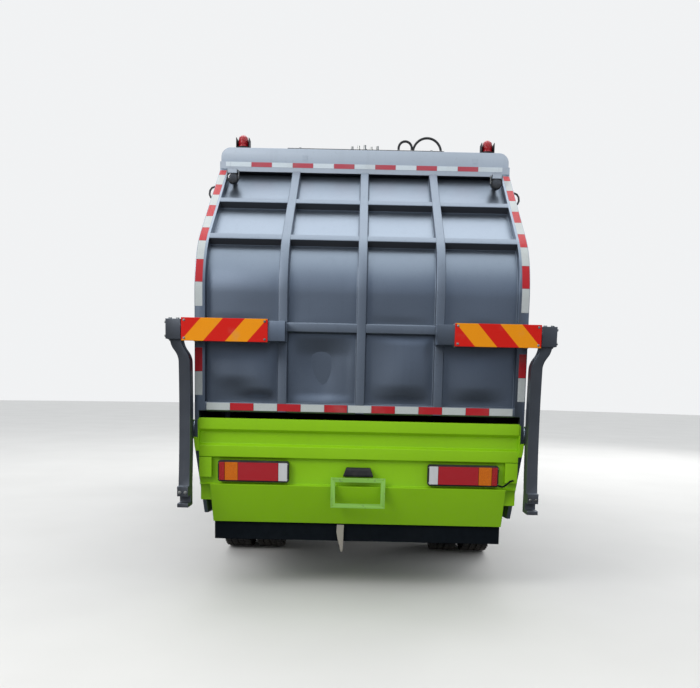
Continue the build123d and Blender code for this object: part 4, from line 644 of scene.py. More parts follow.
block_works, given = new_tree("tread_blocks", {
    "Count": "Int",
    "Radius": "Float",
    "Block": "Vector",
    "Row": "Float",
    "Phase": "Float",
    "Skew": "Float",
    "Centre": "Vector",
    "Finish": "Material",
})
one_block = block_works.add("GeometryNodeMeshCube", {}, {"Size": given["Block"]})
skewed = block_works.add("ShaderNodeCombineXYZ", {}, {2: given["Skew"]})
out_there = block_works.add("ShaderNodeCombineXYZ", {}, {0: given["Row"], 2: given["Radius"]})
set_out_values = {"Geometry": one_block, "Translation": out_there, "Rotation": skewed}
set_out = block_works.add("GeometryNodeTransform", {}, set_out_values)
spots = block_works.add("GeometryNodeMeshLine", {}, {"Count": given["Count"], "Offset": (0, 0, 0)})
block_turn = (block_works.add("GeometryNodeInputIndex") + given["Phase"]) / given["Count"] * (2 * pi)
turn_about = block_works.add("ShaderNodeCombineXYZ", {}, {0: block_turn})
ring_values = {"Points": spots, "Instance": set_out, "Rotation": turn_about}
block_ring = block_works.add("GeometryNodeInstanceOnPoints", {}, ring_values)
centred = block_works.add("GeometryNodeTransform", {}, {"Geometry": block_ring, "Translation": given["Centre"]})
real_ring = block_works.add("GeometryNodeRealizeInstances", {}, {0: centred})
rubber_values = {"Geometry": real_ring, "Material": given["Finish"]}
rubber_ring = block_works.add("GeometryNodeSetMaterial", {}, rubber_values)
block_works.add("NodeGroupOutput", {}, {0: joined(block_works, given["Geometry"], rubber_ring)})
tyre_half = 0.1175


def tyre_profile(radius, grooves):
    """Half section of a tyre from bead to bead: raised rings on the wall, then the tread and its grooves."""
    wall = [(inward - tyre_half, high) for inward, high in (
        (0.024, 0.266), (0.012, 0.272), (0.008, 0.285), (0.012, 0.292), (0.006, 0.315), (0.001, 0.35),
        (0.0035, 0.353), (0.0035, 0.358), (0.0005, 0.361), (0.0, 0.385), (0.002, 0.41), (0.0055, 0.413),
        (0.0055, 0.419), (0.003, 0.422), (0.007, 0.444), (0.014, radius - 0.022), (0.022, radius - 0.008),
    )]
    tread = [(0.034 - tyre_half, radius - 0.002)]
    for x in grooves:
        floor = radius - 0.013
        tread += [(x - 0.0055, radius), (x - 0.004, floor), (x + 0.004, floor), (x + 0.0055, radius)]
    tread.append((tyre_half - 0.034, radius - 0.002))
    return wall + tread + [(-x, r) for x, r in reversed(wall)]


# Each wheel: its name, side, axle, whether it is a driven twin, and its body.
wheel_rows = (
    ("front_left", -1, front_axle_y, False, "front_left_wheel"),
    ("front_right", 1, front_axle_y, False, "front_right_wheel"),
    ("rear_left", -1, rear_axle_y, True, "rear_left_wheels"),
    ("rear_right", 1, rear_axle_y, True, "rear_right_wheels"),
)
steer_rows = [(row, 0.03, 0.0, 0.0) for row in (-0.0915, 0.0915)]
drive_rows = (
    (-0.082, 0.048, 0.0, 0.25),
    (-0.0295, 0.042, 0.5, -0.3),
    (0.0295, 0.042, 0.0, -0.3),
    (0.082, 0.048, 0.5, 0.25),
)
for wheel, side, axle_y, driven, body in wheel_rows:
    centres = (0.7675, 1.0475) if driven else (0.9,)
    profile = tyre_profile(0.467, ()) if driven else tyre_profile(0.48, (-0.06, -0.02, 0.02, 0.06))
    casings = bmesh.new()
    for x in centres:
        turned(casings, profile, (side * x, axle_y, wheel_z), (1, 0, 0), 72, closed=True)
    base = linked(wheel + "_casing", mesh_of(wheel + "_casing", casings, tyre_rubber))
    for x in centres:
        for row, wide, phase, skew in drive_rows if driven else steer_rows:
            grow(base, block_works, {
                "Count": 56 if driven else 80,
                "Radius": 0.4725 if driven else 0.4765,
                "Block": (wide, 0.04, 0.0145) if driven else (wide, 0.026, 0.0068),
                "Row": side * x + row,
                "Phase": phase,
                "Skew": skew,
                "Centre": (0.0, axle_y, wheel_z),
                "Finish": tyre_rubber.material,
            })
    tyre_mesh = settled(base)
    tyre_mesh.shade_smooth()
    tyre_mesh.set_sharp_from_angle(angle=radians(30))
    hand_over(wheel + "_rubber", tyre_mesh, body, (wheel + "_tyre",))


# Rims: pressed steel discs with hand holes, painted grey. Ten studs hold each round a cast hub, which ends in a
# turned cap that keeps the grease in.
rim_grey = painted("rim_grey", (0.4, 0.41, 0.43), metallic=0.25, roughness=0.42, dust=0.75, chips=0.8)
twin_cap = [
    (-0.004, 0.06), (0.0, 0.098), (0.006, 0.1), (0.01, 0.094), (0.012, 0.07), (0.02, 0.064), (0.04, 0.06),
    (0.048, 0.05), (0.05, 0.03), (0.05, 0.0),
]
single_cap = [
    (-0.004, 0.05), (0.0, 0.085), (0.005, 0.087), (0.009, 0.08), (0.011, 0.06), (0.02, 0.055), (0.03, 0.04),
    (0.032, 0.0),
]
for wheel, side, axle_y, driven, body in wheel_rows:
    disc_face, hub_end = (0.967, 1.0025) if driven else (0.927, 0.975)
    eased(wheel + "_disc_rim", wheel + "_rim", [rim_grey], body, "rim_paint", ease=0.003)
    stud_circle = full_circle(0.135, 10)
    studs = [((side * disc_face, axle_y + u, wheel_z + v), (side, 0, 0), 1.0) for u, v in stud_circle]
    heads(wheel + "_wheel_nuts", studs, body, zinc, radius=0.0135, height=0.018, washer_radius=0.019)
    hub_cap = bmesh.new()
    cap_profile = twin_cap if driven else single_cap
    turned(hub_cap, cap_profile, (side * hub_end, axle_y, wheel_z), (side, 0, 0), 40)
    piece_from(wheel + "_hub_cap", hub_cap, [iron if driven else rim_grey], body, "cast")


# Fuel tank: a rolled aluminium box with welded end seams, hung from the rail on two steel straps. A screwed
# filler cap stands on its top.
def brushed(name, colour, stretch, roughness=0.3):
    """Bare rolled aluminium, with fine lines along the sheet and dull patches."""
    finish = Finish(name)
    lines = finish.grain(60.0, 3.0, stretch=stretch)
    patch = finish.grain(4.0, 4.0)
    tone = finish.mix(lines * 0.7, tuple(0.82 * c for c in colour), colour)
    low = 1.0 - finish.rise(finish.axis("Z") + 0.3 * patch, 0.5, 1.0)
    tone = finish.mix(low * 0.5, tone, (0.27, 0.24, 0.2))
    rough = roughness + 0.2 * patch + 0.1 * lines
    return finish.cover(tone, metallic=0.9, roughness=rough, normal=finish.relief(lines, 0.0002))


def rounded_ring(low, high, radius, first=0):
    """Points round a rectangle between two corner centres, with five on the arc of each corner."""
    corners = (high, (low[0], high[1]), low, (high[0], low[1]))
    ring = []
    for k in range(first, first + 4):
        across, up = corners[k % 4]
        ring += [(across + u, up + v) for u, v in arc(radius, 90 * k, 90 * k + 90, 4)]
    return ring


tank_metal = brushed("tank_aluminium", (0.56, 0.57, 0.58), (8, 0.4, 8))
low_tank, high_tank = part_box("fuel_tank")
eased("fuel_tank_shell", "fuel_tank", [tank_metal], "chassis", "tank", ease=0.006)
tank_trim = bmesh.new()
tank_x, tank_z = 0.67, 0.62
tank_ring = rounded_ring((0.54, 0.49), (0.8, 0.75), 0.0715)
for strap_y in (0.185, 0.785):
    stations = []
    for x, z in tank_ring:
        stations.append(((x, strap_y, z), (0, 1, 0), Vector((x - tank_x, 0, z - tank_z)).normalized()))
    swept(tank_trim, flat(0.022, 0.002, low=-0.001), stations, loop=True)
for seam_y in (low_tank.y + 0.03, high_tank.y - 0.03):
    tube(tank_trim, [(x, seam_y, z) for x, z in tank_ring], 0.003, 6, loop=True)
filler = [
    (0.0, 0.0), (-0.002, 0.052), (0.012, 0.052), (0.014, 0.044), (0.028, 0.044), (0.031, 0.04), (0.031, 0.0),
]
turned(tank_trim, filler, (tank_x, 0.62, 0.816), (0, 0, 1), 32)
piece_from("tank_straps", tank_trim, [zinc], "chassis", "tank", sharp=30)


# Battery box: a moulded case on the rail with a ribbed lid. Two sprung latches on its outer side hold the lid
# down.
plastic = Finish("moulded_black")
skin_grain = plastic.grain(420.0, 3.0)
plastic_tone = plastic.mix(plastic.grain(3.0, 3.0), (0.013, 0.0135, 0.015), (0.026, 0.0265, 0.028))
plastic_dust = plastic.rise(plastic.grain(15.0, 5.0), 0.45, 0.8) * 0.25
plastic_tone = plastic.mix(plastic_dust, plastic_tone, (0.12, 0.115, 0.1))
plastic_bump = plastic.relief(skin_grain, 0.0003)
plastic.cover(plastic_tone, roughness=0.55 + 0.15 * skin_grain, specular_ior_level=0.3, normal=plastic_bump)
low_box, high_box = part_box("battery_box")
eased("battery_case", "battery_box", [plastic], "chassis", "black_plastic", ease=0.005)
lid = bmesh.new()
for step in range(5):
    x = low_box.x + 0.05 + 0.05 * step
    bar(lid, x, 0.008, (low_box.y + 0.04, high_box.z - 0.001), (high_box.y - 0.04, high_box.z + 0.006))
for spot in (low_box.y + 0.14, low_box.y + 0.42):
    for out, half, low_z, high_z in ((0.007, 0.014, 0.12, 0.02), (0.01, 0.02, 0.14, 0.115)):
        low = (low_box.x - out, spot - half, high_box.z - low_z)
        block(lid, low, (low_box.x + 0.002, spot + half, high_box.z - high_z))
piece_from("battery_lid_ribs", lid, [plastic], "chassis", "black_plastic", ease=0.002)


# Air tanks: a pressed steel cylinder with domed ends, painted black, with a weld seam round each end and one
# round its middle. A drain plug hangs under it.
def hoop(shape, centre, radius, thick):
    """A bead round a drum that lies along the truck."""
    x, y, z = centre
    tube(shape, [(x + u, y, z + v) for u, v in full_circle(radius, 32)], thick, 6, loop=True)


low_air, high_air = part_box("air_tanks")
eased("air_reservoir", "air_tanks", [chassis_paint], "chassis", "chassis_black")
air_x, air_z = low_air.x + 0.125, low_air.z + 0.125
seams = bmesh.new()
for seam_y in (low_air.y + 0.055, high_air.y - 0.055, (low_air.y + high_air.y) / 2):
    hoop(seams, (air_x, seam_y, air_z), 0.1255, 0.0035)
plug_profile = [(0.0, 0.012), (0.012, 0.012), (0.014, 0.006), (0.03, 0.006), (0.031, 0.0)]
knob(seams, plug_profile, (air_x, low_air.y + 0.2, low_air.z + 0.003), (0, 0, -1), 12)
piece_from("air_tank_seams", seams, [chassis_paint], "chassis", "chassis_black")


# Silencer: a drum of aluminised steel with a side outlet, browned by heat. Rolled beads and clamp bands run
# round it, and brackets hold it to the rail.
burnt = Finish("heat_browned_steel")
rust = burnt.rise(burnt.grain(30.0, 6.0), 0.5, 0.72)
burnt_tone = burnt.mix(burnt.grain(7.0, 5.0), (0.2, 0.18, 0.16), (0.33, 0.31, 0.29))
burnt_tone = burnt.mix(rust * 0.7, burnt_tone, (0.2, 0.085, 0.035))
burnt_shine = {"metallic": 0.7 - 0.6 * rust, "roughness": 0.45 + 0.35 * rust}
burnt.cover(burnt_tone, **burnt_shine, normal=burnt.relief(rust, 0.0004))
eased("exhaust_drum", "silencer", [burnt], "chassis", "cast", ease=0.003)
drum_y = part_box("silencer")[0].y
drum_rings = bmesh.new()
for along in (0.03, 0.14, 0.42, 0.53):
    hoop(drum_rings, (0.575, drum_y + along, 0.665), 0.116, 0.004)
piece_from("drum_bands", drum_rings, [burnt], "chassis", "cast")


# Rear mudguards: rolled steel arches over the twin wheels, painted black, with a turned edge along each side.
# They are bolted under the load body.
eased("wheel_arches", "rear_mudguards", [chassis_paint], "chassis", "chassis_black", ease=0.0025)
arch_lips = bmesh.new()
for side, x in product(both, (1.172, 0.648)):
    path = [(side * x, rear_axle_y + u, wheel_z + v) for u, v in arc(0.535, 15, 165, 24) if wheel_z + v > 0.615]
    tube(arch_lips, path, 0.006, 8)
piece_from("arch_edges", arch_lips, [chassis_paint], "chassis", "chassis_black")


# Side guards: two rolled aluminium rails each side that keep people out from under the truck. They are bolted
# through to posts from the bed.
guard_metal = brushed("guard_aluminium", (0.5, 0.51, 0.52), (8, 0.3, 8), roughness=0.36)
low_guard, high_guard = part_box("side_guards")
eased("side_rails", "side_guards", [guard_metal], "chassis", "tank", ease=0.005)
post_ys = (low_guard.y + 0.15, (low_guard.y + high_guard.y) / 2, high_guard.y - 0.15)
guard_bolts = []
for side, post_y, rail_z, up in product(both, post_ys, (0.56, 0.8), (-0.025, 0.025)):
    guard_bolts.append(((side * 1.113, post_y, rail_z + up), (side, 0, 0), 0.8))
heads("guard_bolts", guard_bolts, "chassis", zinc)


# Front bumper: a pressed steel shell in the cab's colour with lamp pockets, fixed to the rail ends. Moulded
# black strips line its step and its cooling slots.
cab_white = painted("cab_white", (0.6, 0.62, 0.64), roughness=0.28, coat=0.7, streak=0.08)
eased("bumper_shell", "front_bumper", [cab_white], "chassis", "cab_paint", ease=0.006, steps=3)
bumper_trim = bmesh.new()
for x in (-0.35, 0.35):
    bar(bumper_trim, x, 0.27, (3.805, 0.412), (3.813, 0.452))
for step, side, low_z in product(range(8), both, (0.62, 0.645)):
    bar(bumper_trim, side * (0.12 + 0.06 * step), 0.018, (3.806, low_z), (3.812, low_z + 0.012))
piece_from("bumper_trim", bumper_trim, [plastic], "chassis", "black_plastic", ease=0.002)


# Headlamps: two large chromed bowls and a small one in a moulded case each side, behind a clear cover with
# flutes. The cases are screwed into the bumper's pockets.
clear_lens = Finish("clear_lens")
flutes = clear_lens.waves(55.0)
clear_tone = clear_lens.mix(flutes, (0.62, 0.65, 0.68), (0.8, 0.83, 0.86))
clear_rough = 0.08 + 0.06 * clear_lens.grain(20.0)
clear_relief = clear_lens.relief(flutes, 0.0008)
clear_lens.cover(clear_tone, roughness=clear_rough, coat_weight=1.0, metallic=0.25, normal=clear_relief)
mirror_bowl = brushed("lamp_mirror", (0.85, 0.86, 0.87), (2, 2, 2), roughness=0.08)
eased("lamp_cases", "headlamps", [plastic], "chassis", "clear_lens")
bowls = bmesh.new()
for side in both:
    for shift, radius in ((-0.085, 0.058), (0.045, 0.058), (0.125, 0.026)):
        x = side * (0.85 + shift)
        rim = radius + 0.006
        bowl = [(0.0, rim), (0.006, rim), (0.009, radius + 0.003), (0.008, radius)]
        bowl += [(0.002, radius * 0.8), (0.0005, 0.0)]
        turned(bowls, bowl, (x, 3.765, 0.545), (0, 1, 0), 32)
        bulb = [(0.0, 0.012), (0.006, 0.012), (0.009, 0.008), (0.01, 0.0)]
        turned(bowls, bulb, (x, 3.766, 0.545), (0, 1, 0), 16, index=1)
piece_from("lamp_bowls", bowls, [mirror_bowl, clear_lens], "chassis", "clear_lens")


# Load body: a welded sheet box with upright ribs all round, painted slate, on two bed rails. A bead of weld
# runs where each rib meets the sheet, and an amber marker sits in each bay.
def lens(name, pattern, dark, light, shine, depth=0.0008, **more):
    """Moulded lens plastic whose tone, shine and relief follow a pattern of ribs or cells."""
    finish = Finish(name)
    marks = pattern(finish)
    tone = finish.mix(marks, dark, light)
    relief = finish.relief(marks, depth)
    return finish.cover(tone, roughness=0.2 + shine * marks, coat_weight=0.3, normal=relief, **more)


slate_tone = (0.2, 0.237, 0.29)
slate_values = {"metallic": 0.9, "roughness": 0.3, "flake": 0.15, "dust": 0.12, "streak": 0.1, "chips": 0.05}
slate = painted("slate_paint", slate_tone, **slate_values)
# Eased edges get a lighter slate: partly worn paint, partly a painted highlight along the edges.
edge_wear_and_highlight_tone = (0.24, 0.28, 0.335)
edge_wear_and_highlight_values = {"metallic": 0.9, "roughness": 0.3, "flake": 0.2, "dust": 0.12, "chips": 0.15}
slate_edge_wear_and_highlight = painted("slate_worn_edge", edge_wear_and_highlight_tone, **edge_wear_and_highlight_values)
body_values = {"metallic": 0.85, "roughness": 0.38, "flake": 0.15, "dust": 0.14, "streak": 0.14, "chips": 0.05}
body_slate = painted("slate_body_paint", slate_tone, **body_values)
eased("ribbed_body", "body_box", [body_slate, slate_edge_wear_and_highlight], "chassis", "slate_paint", ease=0.005, edge=1)
coloured = {"specular_ior_level": 0.35}
amber = lens("amber_lens", lambda f: f.cells(160.0), (0.5, 0.1, 0.002), (0.66, 0.17, 0.004), 0.05, **coloured)
body_trim = bmesh.new()
rib_wide = 0.07
rib_pitch = (1.86 + 2.523 - rib_wide) / 6
rib_starts = [-2.523 + index * rib_pitch for index in range(7)]
base_profile = [(0.0, 0.0), (0.0, 0.034), (0.006, 0.034), (0.008, 0.031)]
marker_dome = [(0.006, 0.0295), (0.012, 0.028), (0.017, 0.018), (0.018, 0.0)]
for side in both:
    for start, over in product(rib_starts, (-0.002, rib_wide + 0.002)):
        if -2.52 < start + over < 1.858:
            tube(body_trim, [(side * 1.0965, start + over, 1.06 + 0.1 * i) for i in range(20)], 0.0045, 6)
    for start in rib_starts[:6]:
        base = (side * 1.0955, start + rib_wide + (rib_pitch - rib_wide) / 2, 1.13)
        turned(body_trim, base_profile, base, (side, 0, 0), 28, index=1)
        knob(body_trim, marker_dome, base, (side, 0, 0), 28, index=2)
piece_from("body_welds_and_markers", body_trim, [slate, plastic, amber], "chassis", "slate_paint")


# Ejector plate: a curved push plate of bare steel on ribs that slides the load out of the body. Refuse scrapes
# all of its paint off.
scraped_values = {"metallic": 0.6, "roughness": 0.5, "dust": 0.4, "streak": 0.5, "chips": 1.0}
scraped = painted("scraped_steel", (0.2, 0.2, 0.2), **scraped_values)
eased("push_plate", "ejector_plate", [scraped], "ejector", "slate_paint", ease=0.005)


# Cab: a welded steel box with pressed door openings, painted white. Its edges are rolled, rain gutters run over
# the doors, a step plate lies in each foot pocket and a rubber strip seals every opening.
eased("cab_body", "cab_shell", [cab_white], "cab", "cab_paint", ease=0.007, steps=3)
sealing = Finish("sealing_rubber")
seal_grain = sealing.grain(260.0, 3.0)
seal_tone = sealing.mix(sealing.grain(5.0, 4.0), (0.01, 0.0105, 0.0115), (0.03, 0.03, 0.031))
sealing.cover(seal_tone, roughness=0.7 + 0.1 * seal_grain, normal=sealing.relief(seal_grain, 0.0003))
gutters = bmesh.new()
door_ring = [(2.33, 1.03), (3.445, 1.03), (3.445, 1.72), (3.155, 2.48), (2.33, 2.48)]
for side in both:
    tube(gutters, [(side * 1.102, y, z) for y, z in ((2.2, 2.53), (3.15, 2.53), (3.3, 2.42))], 0.007, 8)
    ring = []
    for y, z in door_ring:
        ring.append((side * 1.0995, y + (0.003 if y > 2.8 else -0.003), z + (0.003 if z > 2 else -0.003)))
    tube(gutters, ring, 0.0032, 6, index=1, loop=True)
    for k in range(7):
        low_y = 3.31 + 0.044 * k
        bar(gutters, side * 1.06, 0.03, (low_y, 0.784), (low_y + 0.012, 0.7895), index=2)
piece_from("gutters_and_steps", gutters, [cab_white, sealing, zinc], "cab", "cab_paint", ease=0.001, steps=1)


# Windscreen: laminated glass in a moulded rubber frame, with a film of road dust. Two wipers on pressed steel
# arms are parked on its lower edge.
def glazing(name, tint):
    """Tinted safety glass that lets the inside show, with a film of dust and dried drops."""
    finish = Finish(name)
    film = finish.rise(finish.grain(4.0, 5.0), 0.4, 0.85)
    drop = finish.rise(finish.grain(70.0, 2.0), 0.68, 0.74)
    tone = finish.mix(film * 0.12, tint, (0.4, 0.42, 0.42))
    clear = 0.34 + 0.05 * film + 0.1 * drop
    return finish.cover(tone, roughness=0.03 + 0.12 * film, coat_weight=1.0, alpha=clear)


cab_glass = glazing("cab_glass", (0.03, 0.045, 0.045))
eased("screen_pane", "windscreen", [cab_glass], "cab", "glass", ease=0.0015, steps=1)
screen_low_edge = Vector((0.0, 3.6865, 1.7))
screen_high_edge = Vector((0.0, 3.3125, 2.58))
screen_rise = screen_high_edge - screen_low_edge
screen_way = screen_rise.normalized()
screen_out = Vector((0.0, screen_way.z, -screen_way.y))


def on_screen(across, up, out=0.0):
    """A place on the windscreen, from the middle of its lower edge."""
    return screen_low_edge + Vector((across, 0, 0)) + screen_way * up + screen_out * out


screen_trim = bmesh.new()
ring = rounded_ring((-0.92, 0.05), (0.92, screen_rise.length - 0.05), 0.045, first=2)
screen_ring = [on_screen(across, up) for across, up in ring]
seal_section = [
    (-0.016, -0.003), (0.016, -0.003), (0.013, 0.006), (0.004, 0.0095), (-0.004, 0.0095), (-0.013, 0.006),
]
seal_stations = []
for k, spot in enumerate(screen_ring):
    along = (screen_ring[(k + 1) % len(screen_ring)] - screen_ring[k - 1]).normalized()
    seal_stations.append((spot, screen_out.cross(along), screen_out))
swept(screen_trim, seal_section, seal_stations, loop=True)
for x in (-0.58, 0.12):
    pivot = on_screen(x, -0.025, 0.012)
    knob(screen_trim, [(-0.016, 0.016), (0.006, 0.016), (0.01, 0.01)], pivot, screen_out, 16, 1)
    arm = [on_screen(x, -0.025, 0.016), on_screen(x + 0.135, 0.005, 0.024), on_screen(x + 0.324, 0.04, 0.018)]
    tube(screen_trim, arm, 0.0055, 8, index=1)
    blade = [(x + 0.0648, 0.028), (x + 0.324, 0.04), (x + 0.5832, 0.052)]
    tube(screen_trim, [on_screen(across, up, 0.018) for across, up in blade], 0.0045, 8, index=1)
    tube(screen_trim, [on_screen(across, up, 0.012) for across, up in blade], 0.005, 6)
piece_from("screen_seal_and_wipers", screen_trim, [sealing, plastic], "cab", "rubber", sharp=32)


# Grille: a moulded frame with level slats, clipped into the cab's front panel. A woven steel mesh behind it
# keeps stones off, and the black radiator shows through.
eased("grille_slats", "grille", [plastic], "cab", "black_plastic")
mesh_panel = bmesh.new()
for k in range(41):
    bar(mesh_panel, -0.636 + 1.272 * k / 40, 0.0015, (3.747, 0.941), (3.75, 1.379))
for k in range(15):
    z = 0.945 + 0.43 * k / 14
    bar(mesh_panel, 0.0, 0.638, (3.748, z - 0.0015), (3.751, z + 0.0015))
bar(mesh_panel, 0.0, 0.637, (3.7395, 0.943), (3.7425, 1.377), index=1)
piece_from("grille_mesh", mesh_panel, [forged, plastic], "cab", "black_plastic")


# Doors: pressed steel skins with a swage along the waist, a pull handle in a dished cup, and hinge pins at the
# front edge. Each carries its pane in a rubber channel.
window_ring = [(2.415, 1.74), (3.34, 1.74), (3.1, 2.395), (2.415, 2.395)]
lock_profile = [(0.0, 0.011), (0.003, 0.011), (0.004, 0.008), (0.0025, 0.0)]
for side, hand in ((-1, "left"), (1, "right")):
    leaf = f"{hand}_door_leaf"
    eased(f"{hand}_door_skin", f"{hand}_door", [cab_white], leaf, "cab_paint", ease=0.005)
    door_trim = bmesh.new()
    for z in (1.655, 1.22):
        tube(door_trim, [(side * 1.1, 2.345, z), (side * 1.1, 3.43, z)], 0.006, 8)
    for x in (1.1, 1.041):
        tube(door_trim, [(side * x, y, z) for y, z in window_ring], 0.0065, 8, index=1, loop=True)
    knob(door_trim, lock_profile, (side * 1.1, 2.42, 1.5), (side, 0, 0), 20, index=2)
    for x, half, low, high in (
        (1.112, 0.0115, (2.39, 1.558), (2.53, 1.5625)),
        (1.022, 0.016, (2.45, 1.14), (3.3, 1.165)),
        (1.028, 0.011, (2.42, 1.45), (2.95, 1.475)),
    ):
        bar(door_trim, side * x, half, low, high, index=3)
    pull = [(side * x, y, 1.3) for x, y in ((1.038, 2.5), (0.999, 2.53), (0.999, 2.73), (1.038, 2.76))]
    tube(door_trim, pull, 0.009, 10, index=3)
    trim_paints = [cab_white, sealing, zinc, plastic]
    piece_from(f"{hand}_door_trim", door_trim, trim_paints, leaf, "cab_paint", (), 0.0012, 1)
    eased(f"{hand}_door_pane", f"{hand}_door_glass", [cab_glass], leaf, "glass", ease=0.001, steps=1)


# Seats: moulded foam on steel pans, sewn in dark woven cloth, with a headrest on two pins. The covers swell
# between their seams, and each pan is bolted to rails on the cab floor.
seat_cloth = Finish("seat_cloth")
woven = seat_cloth.waves(150.0) * 0.5 + seat_cloth.waves(150.0, "Y") * 0.5
cloth_tone = seat_cloth.mix(woven, (0.02, 0.022, 0.028), (0.075, 0.08, 0.095))
cloth_tone = seat_cloth.mix(seat_cloth.grain(5.0, 4.0) * 0.4, cloth_tone, (0.09, 0.085, 0.08))
seat_cloth.cover(cloth_tone, roughness=0.85 + 0.1 * woven, normal=seat_cloth.relief(woven, 0.0006))


def cushion_blank(name, half):
    """A firm block with rounded corners, cut into an even net for the cloth simulation."""
    blank = bmesh.new()
    block(blank, [-h for h in half], half)
    bmesh.ops.bevel(blank, geom=blank.edges[:], offset=min(half) * 0.6, segments=3, affect="EDGES", profile=0.5)
    plain = linked(name + "_plain", mesh_of(name, blank))
    net = plain.modifiers.new("net", "REMESH")
    net.mode = "VOXEL"
    net.voxel_size = 0.012
    return linked(name, settled(plain))


blanks = {
    "cushion": cushion_blank("cushion_blank", (0.236, 0.232, 0.05)),
    "back": cushion_blank("back_blank", (0.226, 0.21, 0.042)),
    "headrest": cushion_blank("headrest_blank", (0.13, 0.075, 0.036)),
}
flat_shapes = {label: [v.co.copy() for v in blank.data.vertices] for label, blank in blanks.items()}
swell_frames = 20
for blank in blanks.values():
    cloth = blank.modifiers.new("fill", "CLOTH")
    cloth.settings.use_pressure = True
    cloth.settings.uniform_pressure_force = 4.0
    cloth.settings.effector_weights.gravity = 0.0
    cloth.settings.tension_stiffness = 20.0
    cloth.settings.quality = 4
    cloth.point_cache.frame_end = swell_frames
for moment in range(1, swell_frames + 1):
    bpy.context.scene.frame_set(moment)
filled = {}
most_swell = 0.012
for label, blank in blanks.items():
    filled[label] = settled(blank)
    for vertex, start in zip(filled[label].vertices, flat_shapes[label]):
        push = vertex.co - start
        if push.length > most_swell:
            vertex.co = start + push.normalized() * most_swell
bpy.context.scene.frame_set(1)

seat_x = 0.52
for side, hand in ((-1, "left"), (1, "right")):
    for label, y, z, turn in (
        ("cushion", 2.44, 1.352, 4.0),
        ("back", 2.225, 1.63, 99.0),
        ("headrest", 2.158, 1.985, 97.0),
    ):
        pad_mesh = filled[label].copy()
        for vertex in pad_mesh.vertices:
            if label != "headrest":
                for seam in (-0.13, 0.13):
                    sewn = exp(-(((vertex.co.x - seam) / 0.009) ** 2))
                    vertex.co.z -= 0.007 * sewn * (1 if vertex.co.z > 0 else -1)
            vertex.co.x *= 1.0 - 0.012 * exp(-((vertex.co.z / 0.008) ** 2))
        pad_mesh.transform(Matrix.Translation((side * seat_x, y, z)) @ Matrix.Rotation(radians(turn), 4, "X"))
        pad_mesh.materials.clear()
        pad_mesh.materials.append(seat_cloth.material)
        name = f"{hand}_seat_{label}"
        rough_pad = linked(name + "_rough", pad_mesh)
        fine = rough_pad.modifiers.new("fine", "SUBSURF")
        fine.levels = 1
        fine.render_levels = 1
        smooth_mesh = settled(rough_pad)
        smooth_mesh.shade_smooth()
        hand_over(name, smooth_mesh, "cab")
seat_frames = bmesh.new()
shell = [(2.128, 1.34), (2.155, 1.34), (2.118, 1.86), (2.094, 1.86)]
for side in both:
    x = side * seat_x
    bar(seat_frames, x, 0.2, (2.19, 1.085), (2.62, 1.29))
    bar(seat_frames, x, 0.225, (2.17, 1.288), (2.67, 1.304))
    for rail in (-0.17, 0.17):
        bar(seat_frames, x + rail, 0.02, (2.16, 1.062), (2.64, 1.086), index=1)
    swept(seat_frames, shell, [((x + end, 0, 0), (0, 1, 0), (0, 0, 1)) for end in (-0.215, 0.215)])
    for pin in (-0.06, 0.06):
        tube(seat_frames, [(x + pin, 2.175, 1.82), (x + pin, 2.16, 1.95)], 0.006, 10, index=1)
    wheel_profile = [(0.0, 0.03), (0.01, 0.03), (0.013, 0.024)]
    knob(seat_frames, wheel_profile, (x + side * 0.2, 2.24, 1.25), (side, 0, 0), 20)
    tube(seat_frames, [(x - side * 0.215, 2.26, 1.3), (x - side * 0.235, 2.27, 1.38)], 0.007, 8, index=1)
    bar(seat_frames, x - side * 0.238, 0.012, (2.255, 1.375), (2.29, 1.43))
piece_from("seat_frames", seat_frames, [plastic, forged], "cab", "black_plastic", ("seats",), ease=0.004)


# Dashboard: one soft moulding across the cab, with a dial hood ahead of the wheel, air vents, a switch row and
# a glove box. The floor has a ribbed rubber mat, and the driver's side has its pedals and a gear lever.
dash_grey = Finish("dash_moulding")
leather = dash_grey.cells(420.0)
dash_tone = dash_grey.mix(dash_grey.grain(3.0, 3.0), (0.075, 0.078, 0.084), (0.1, 0.103, 0.11))
dash_dust = dash_grey.rise(dash_grey.grain(9.0, 5.0), 0.5, 0.8) * 0.2
dash_tone = dash_grey.mix(dash_dust, dash_tone, (0.2, 0.19, 0.17))
dash_grey.cover(dash_tone, roughness=0.62 + 0.08 * leather, normal=dash_grey.relief(leather, 0.0003))
dial_face = Finish("dial_face")
ring_lines = dial_face.grain(40.0, 2.0)
dial_tone = dial_face.mix(ring_lines, (0.01, 0.01, 0.012), (0.02, 0.02, 0.023))
dial_face.cover(dial_tone, roughness=0.1 + 0.05 * ring_lines, coat_weight=1.0)
eased("dash_body", "dashboard", [dash_grey], "cab", "black_plastic", ease=0.02, steps=4)
dash_parts = bmesh.new()
hood_section = [(u, 0.425 * v) for u, v in arc(0.2, 0, 180, 12)]
hood_stations = []
for y, grow_by in ((3.36, 1.0), (3.48, 0.96), (3.6, 0.8)):
    hood_stations.append(((-seat_x, y, 1.645 - 0.148 * (y - 3.375)), (grow_by, 0, 0), (0, 0, grow_by)))
swept(dash_parts, hood_section, hood_stations)
for x, z, radius in ((-0.6, 1.674, 0.05), (-0.475, 1.674, 0.05), (-0.54, 1.7, 0.018)):
    dial = [(0.0, radius + 0.004), (0.006, radius + 0.003), (0.006, radius - 0.002), (0.003, radius - 0.003)]
    knob(dash_parts, dial, (x, 3.361, z), (0, -1, 0), 32, index=2)
for x in (-0.93, -0.17, 0.17, 0.93):
    bar(dash_parts, x, 0.07, (3.312, 1.575), (3.322, 1.625), index=1)
    for k in range(5):
        bar(dash_parts, x, 0.066, (3.306, 1.579 + 0.01 * k), (3.314, 1.5815 + 0.01 * k), index=1)
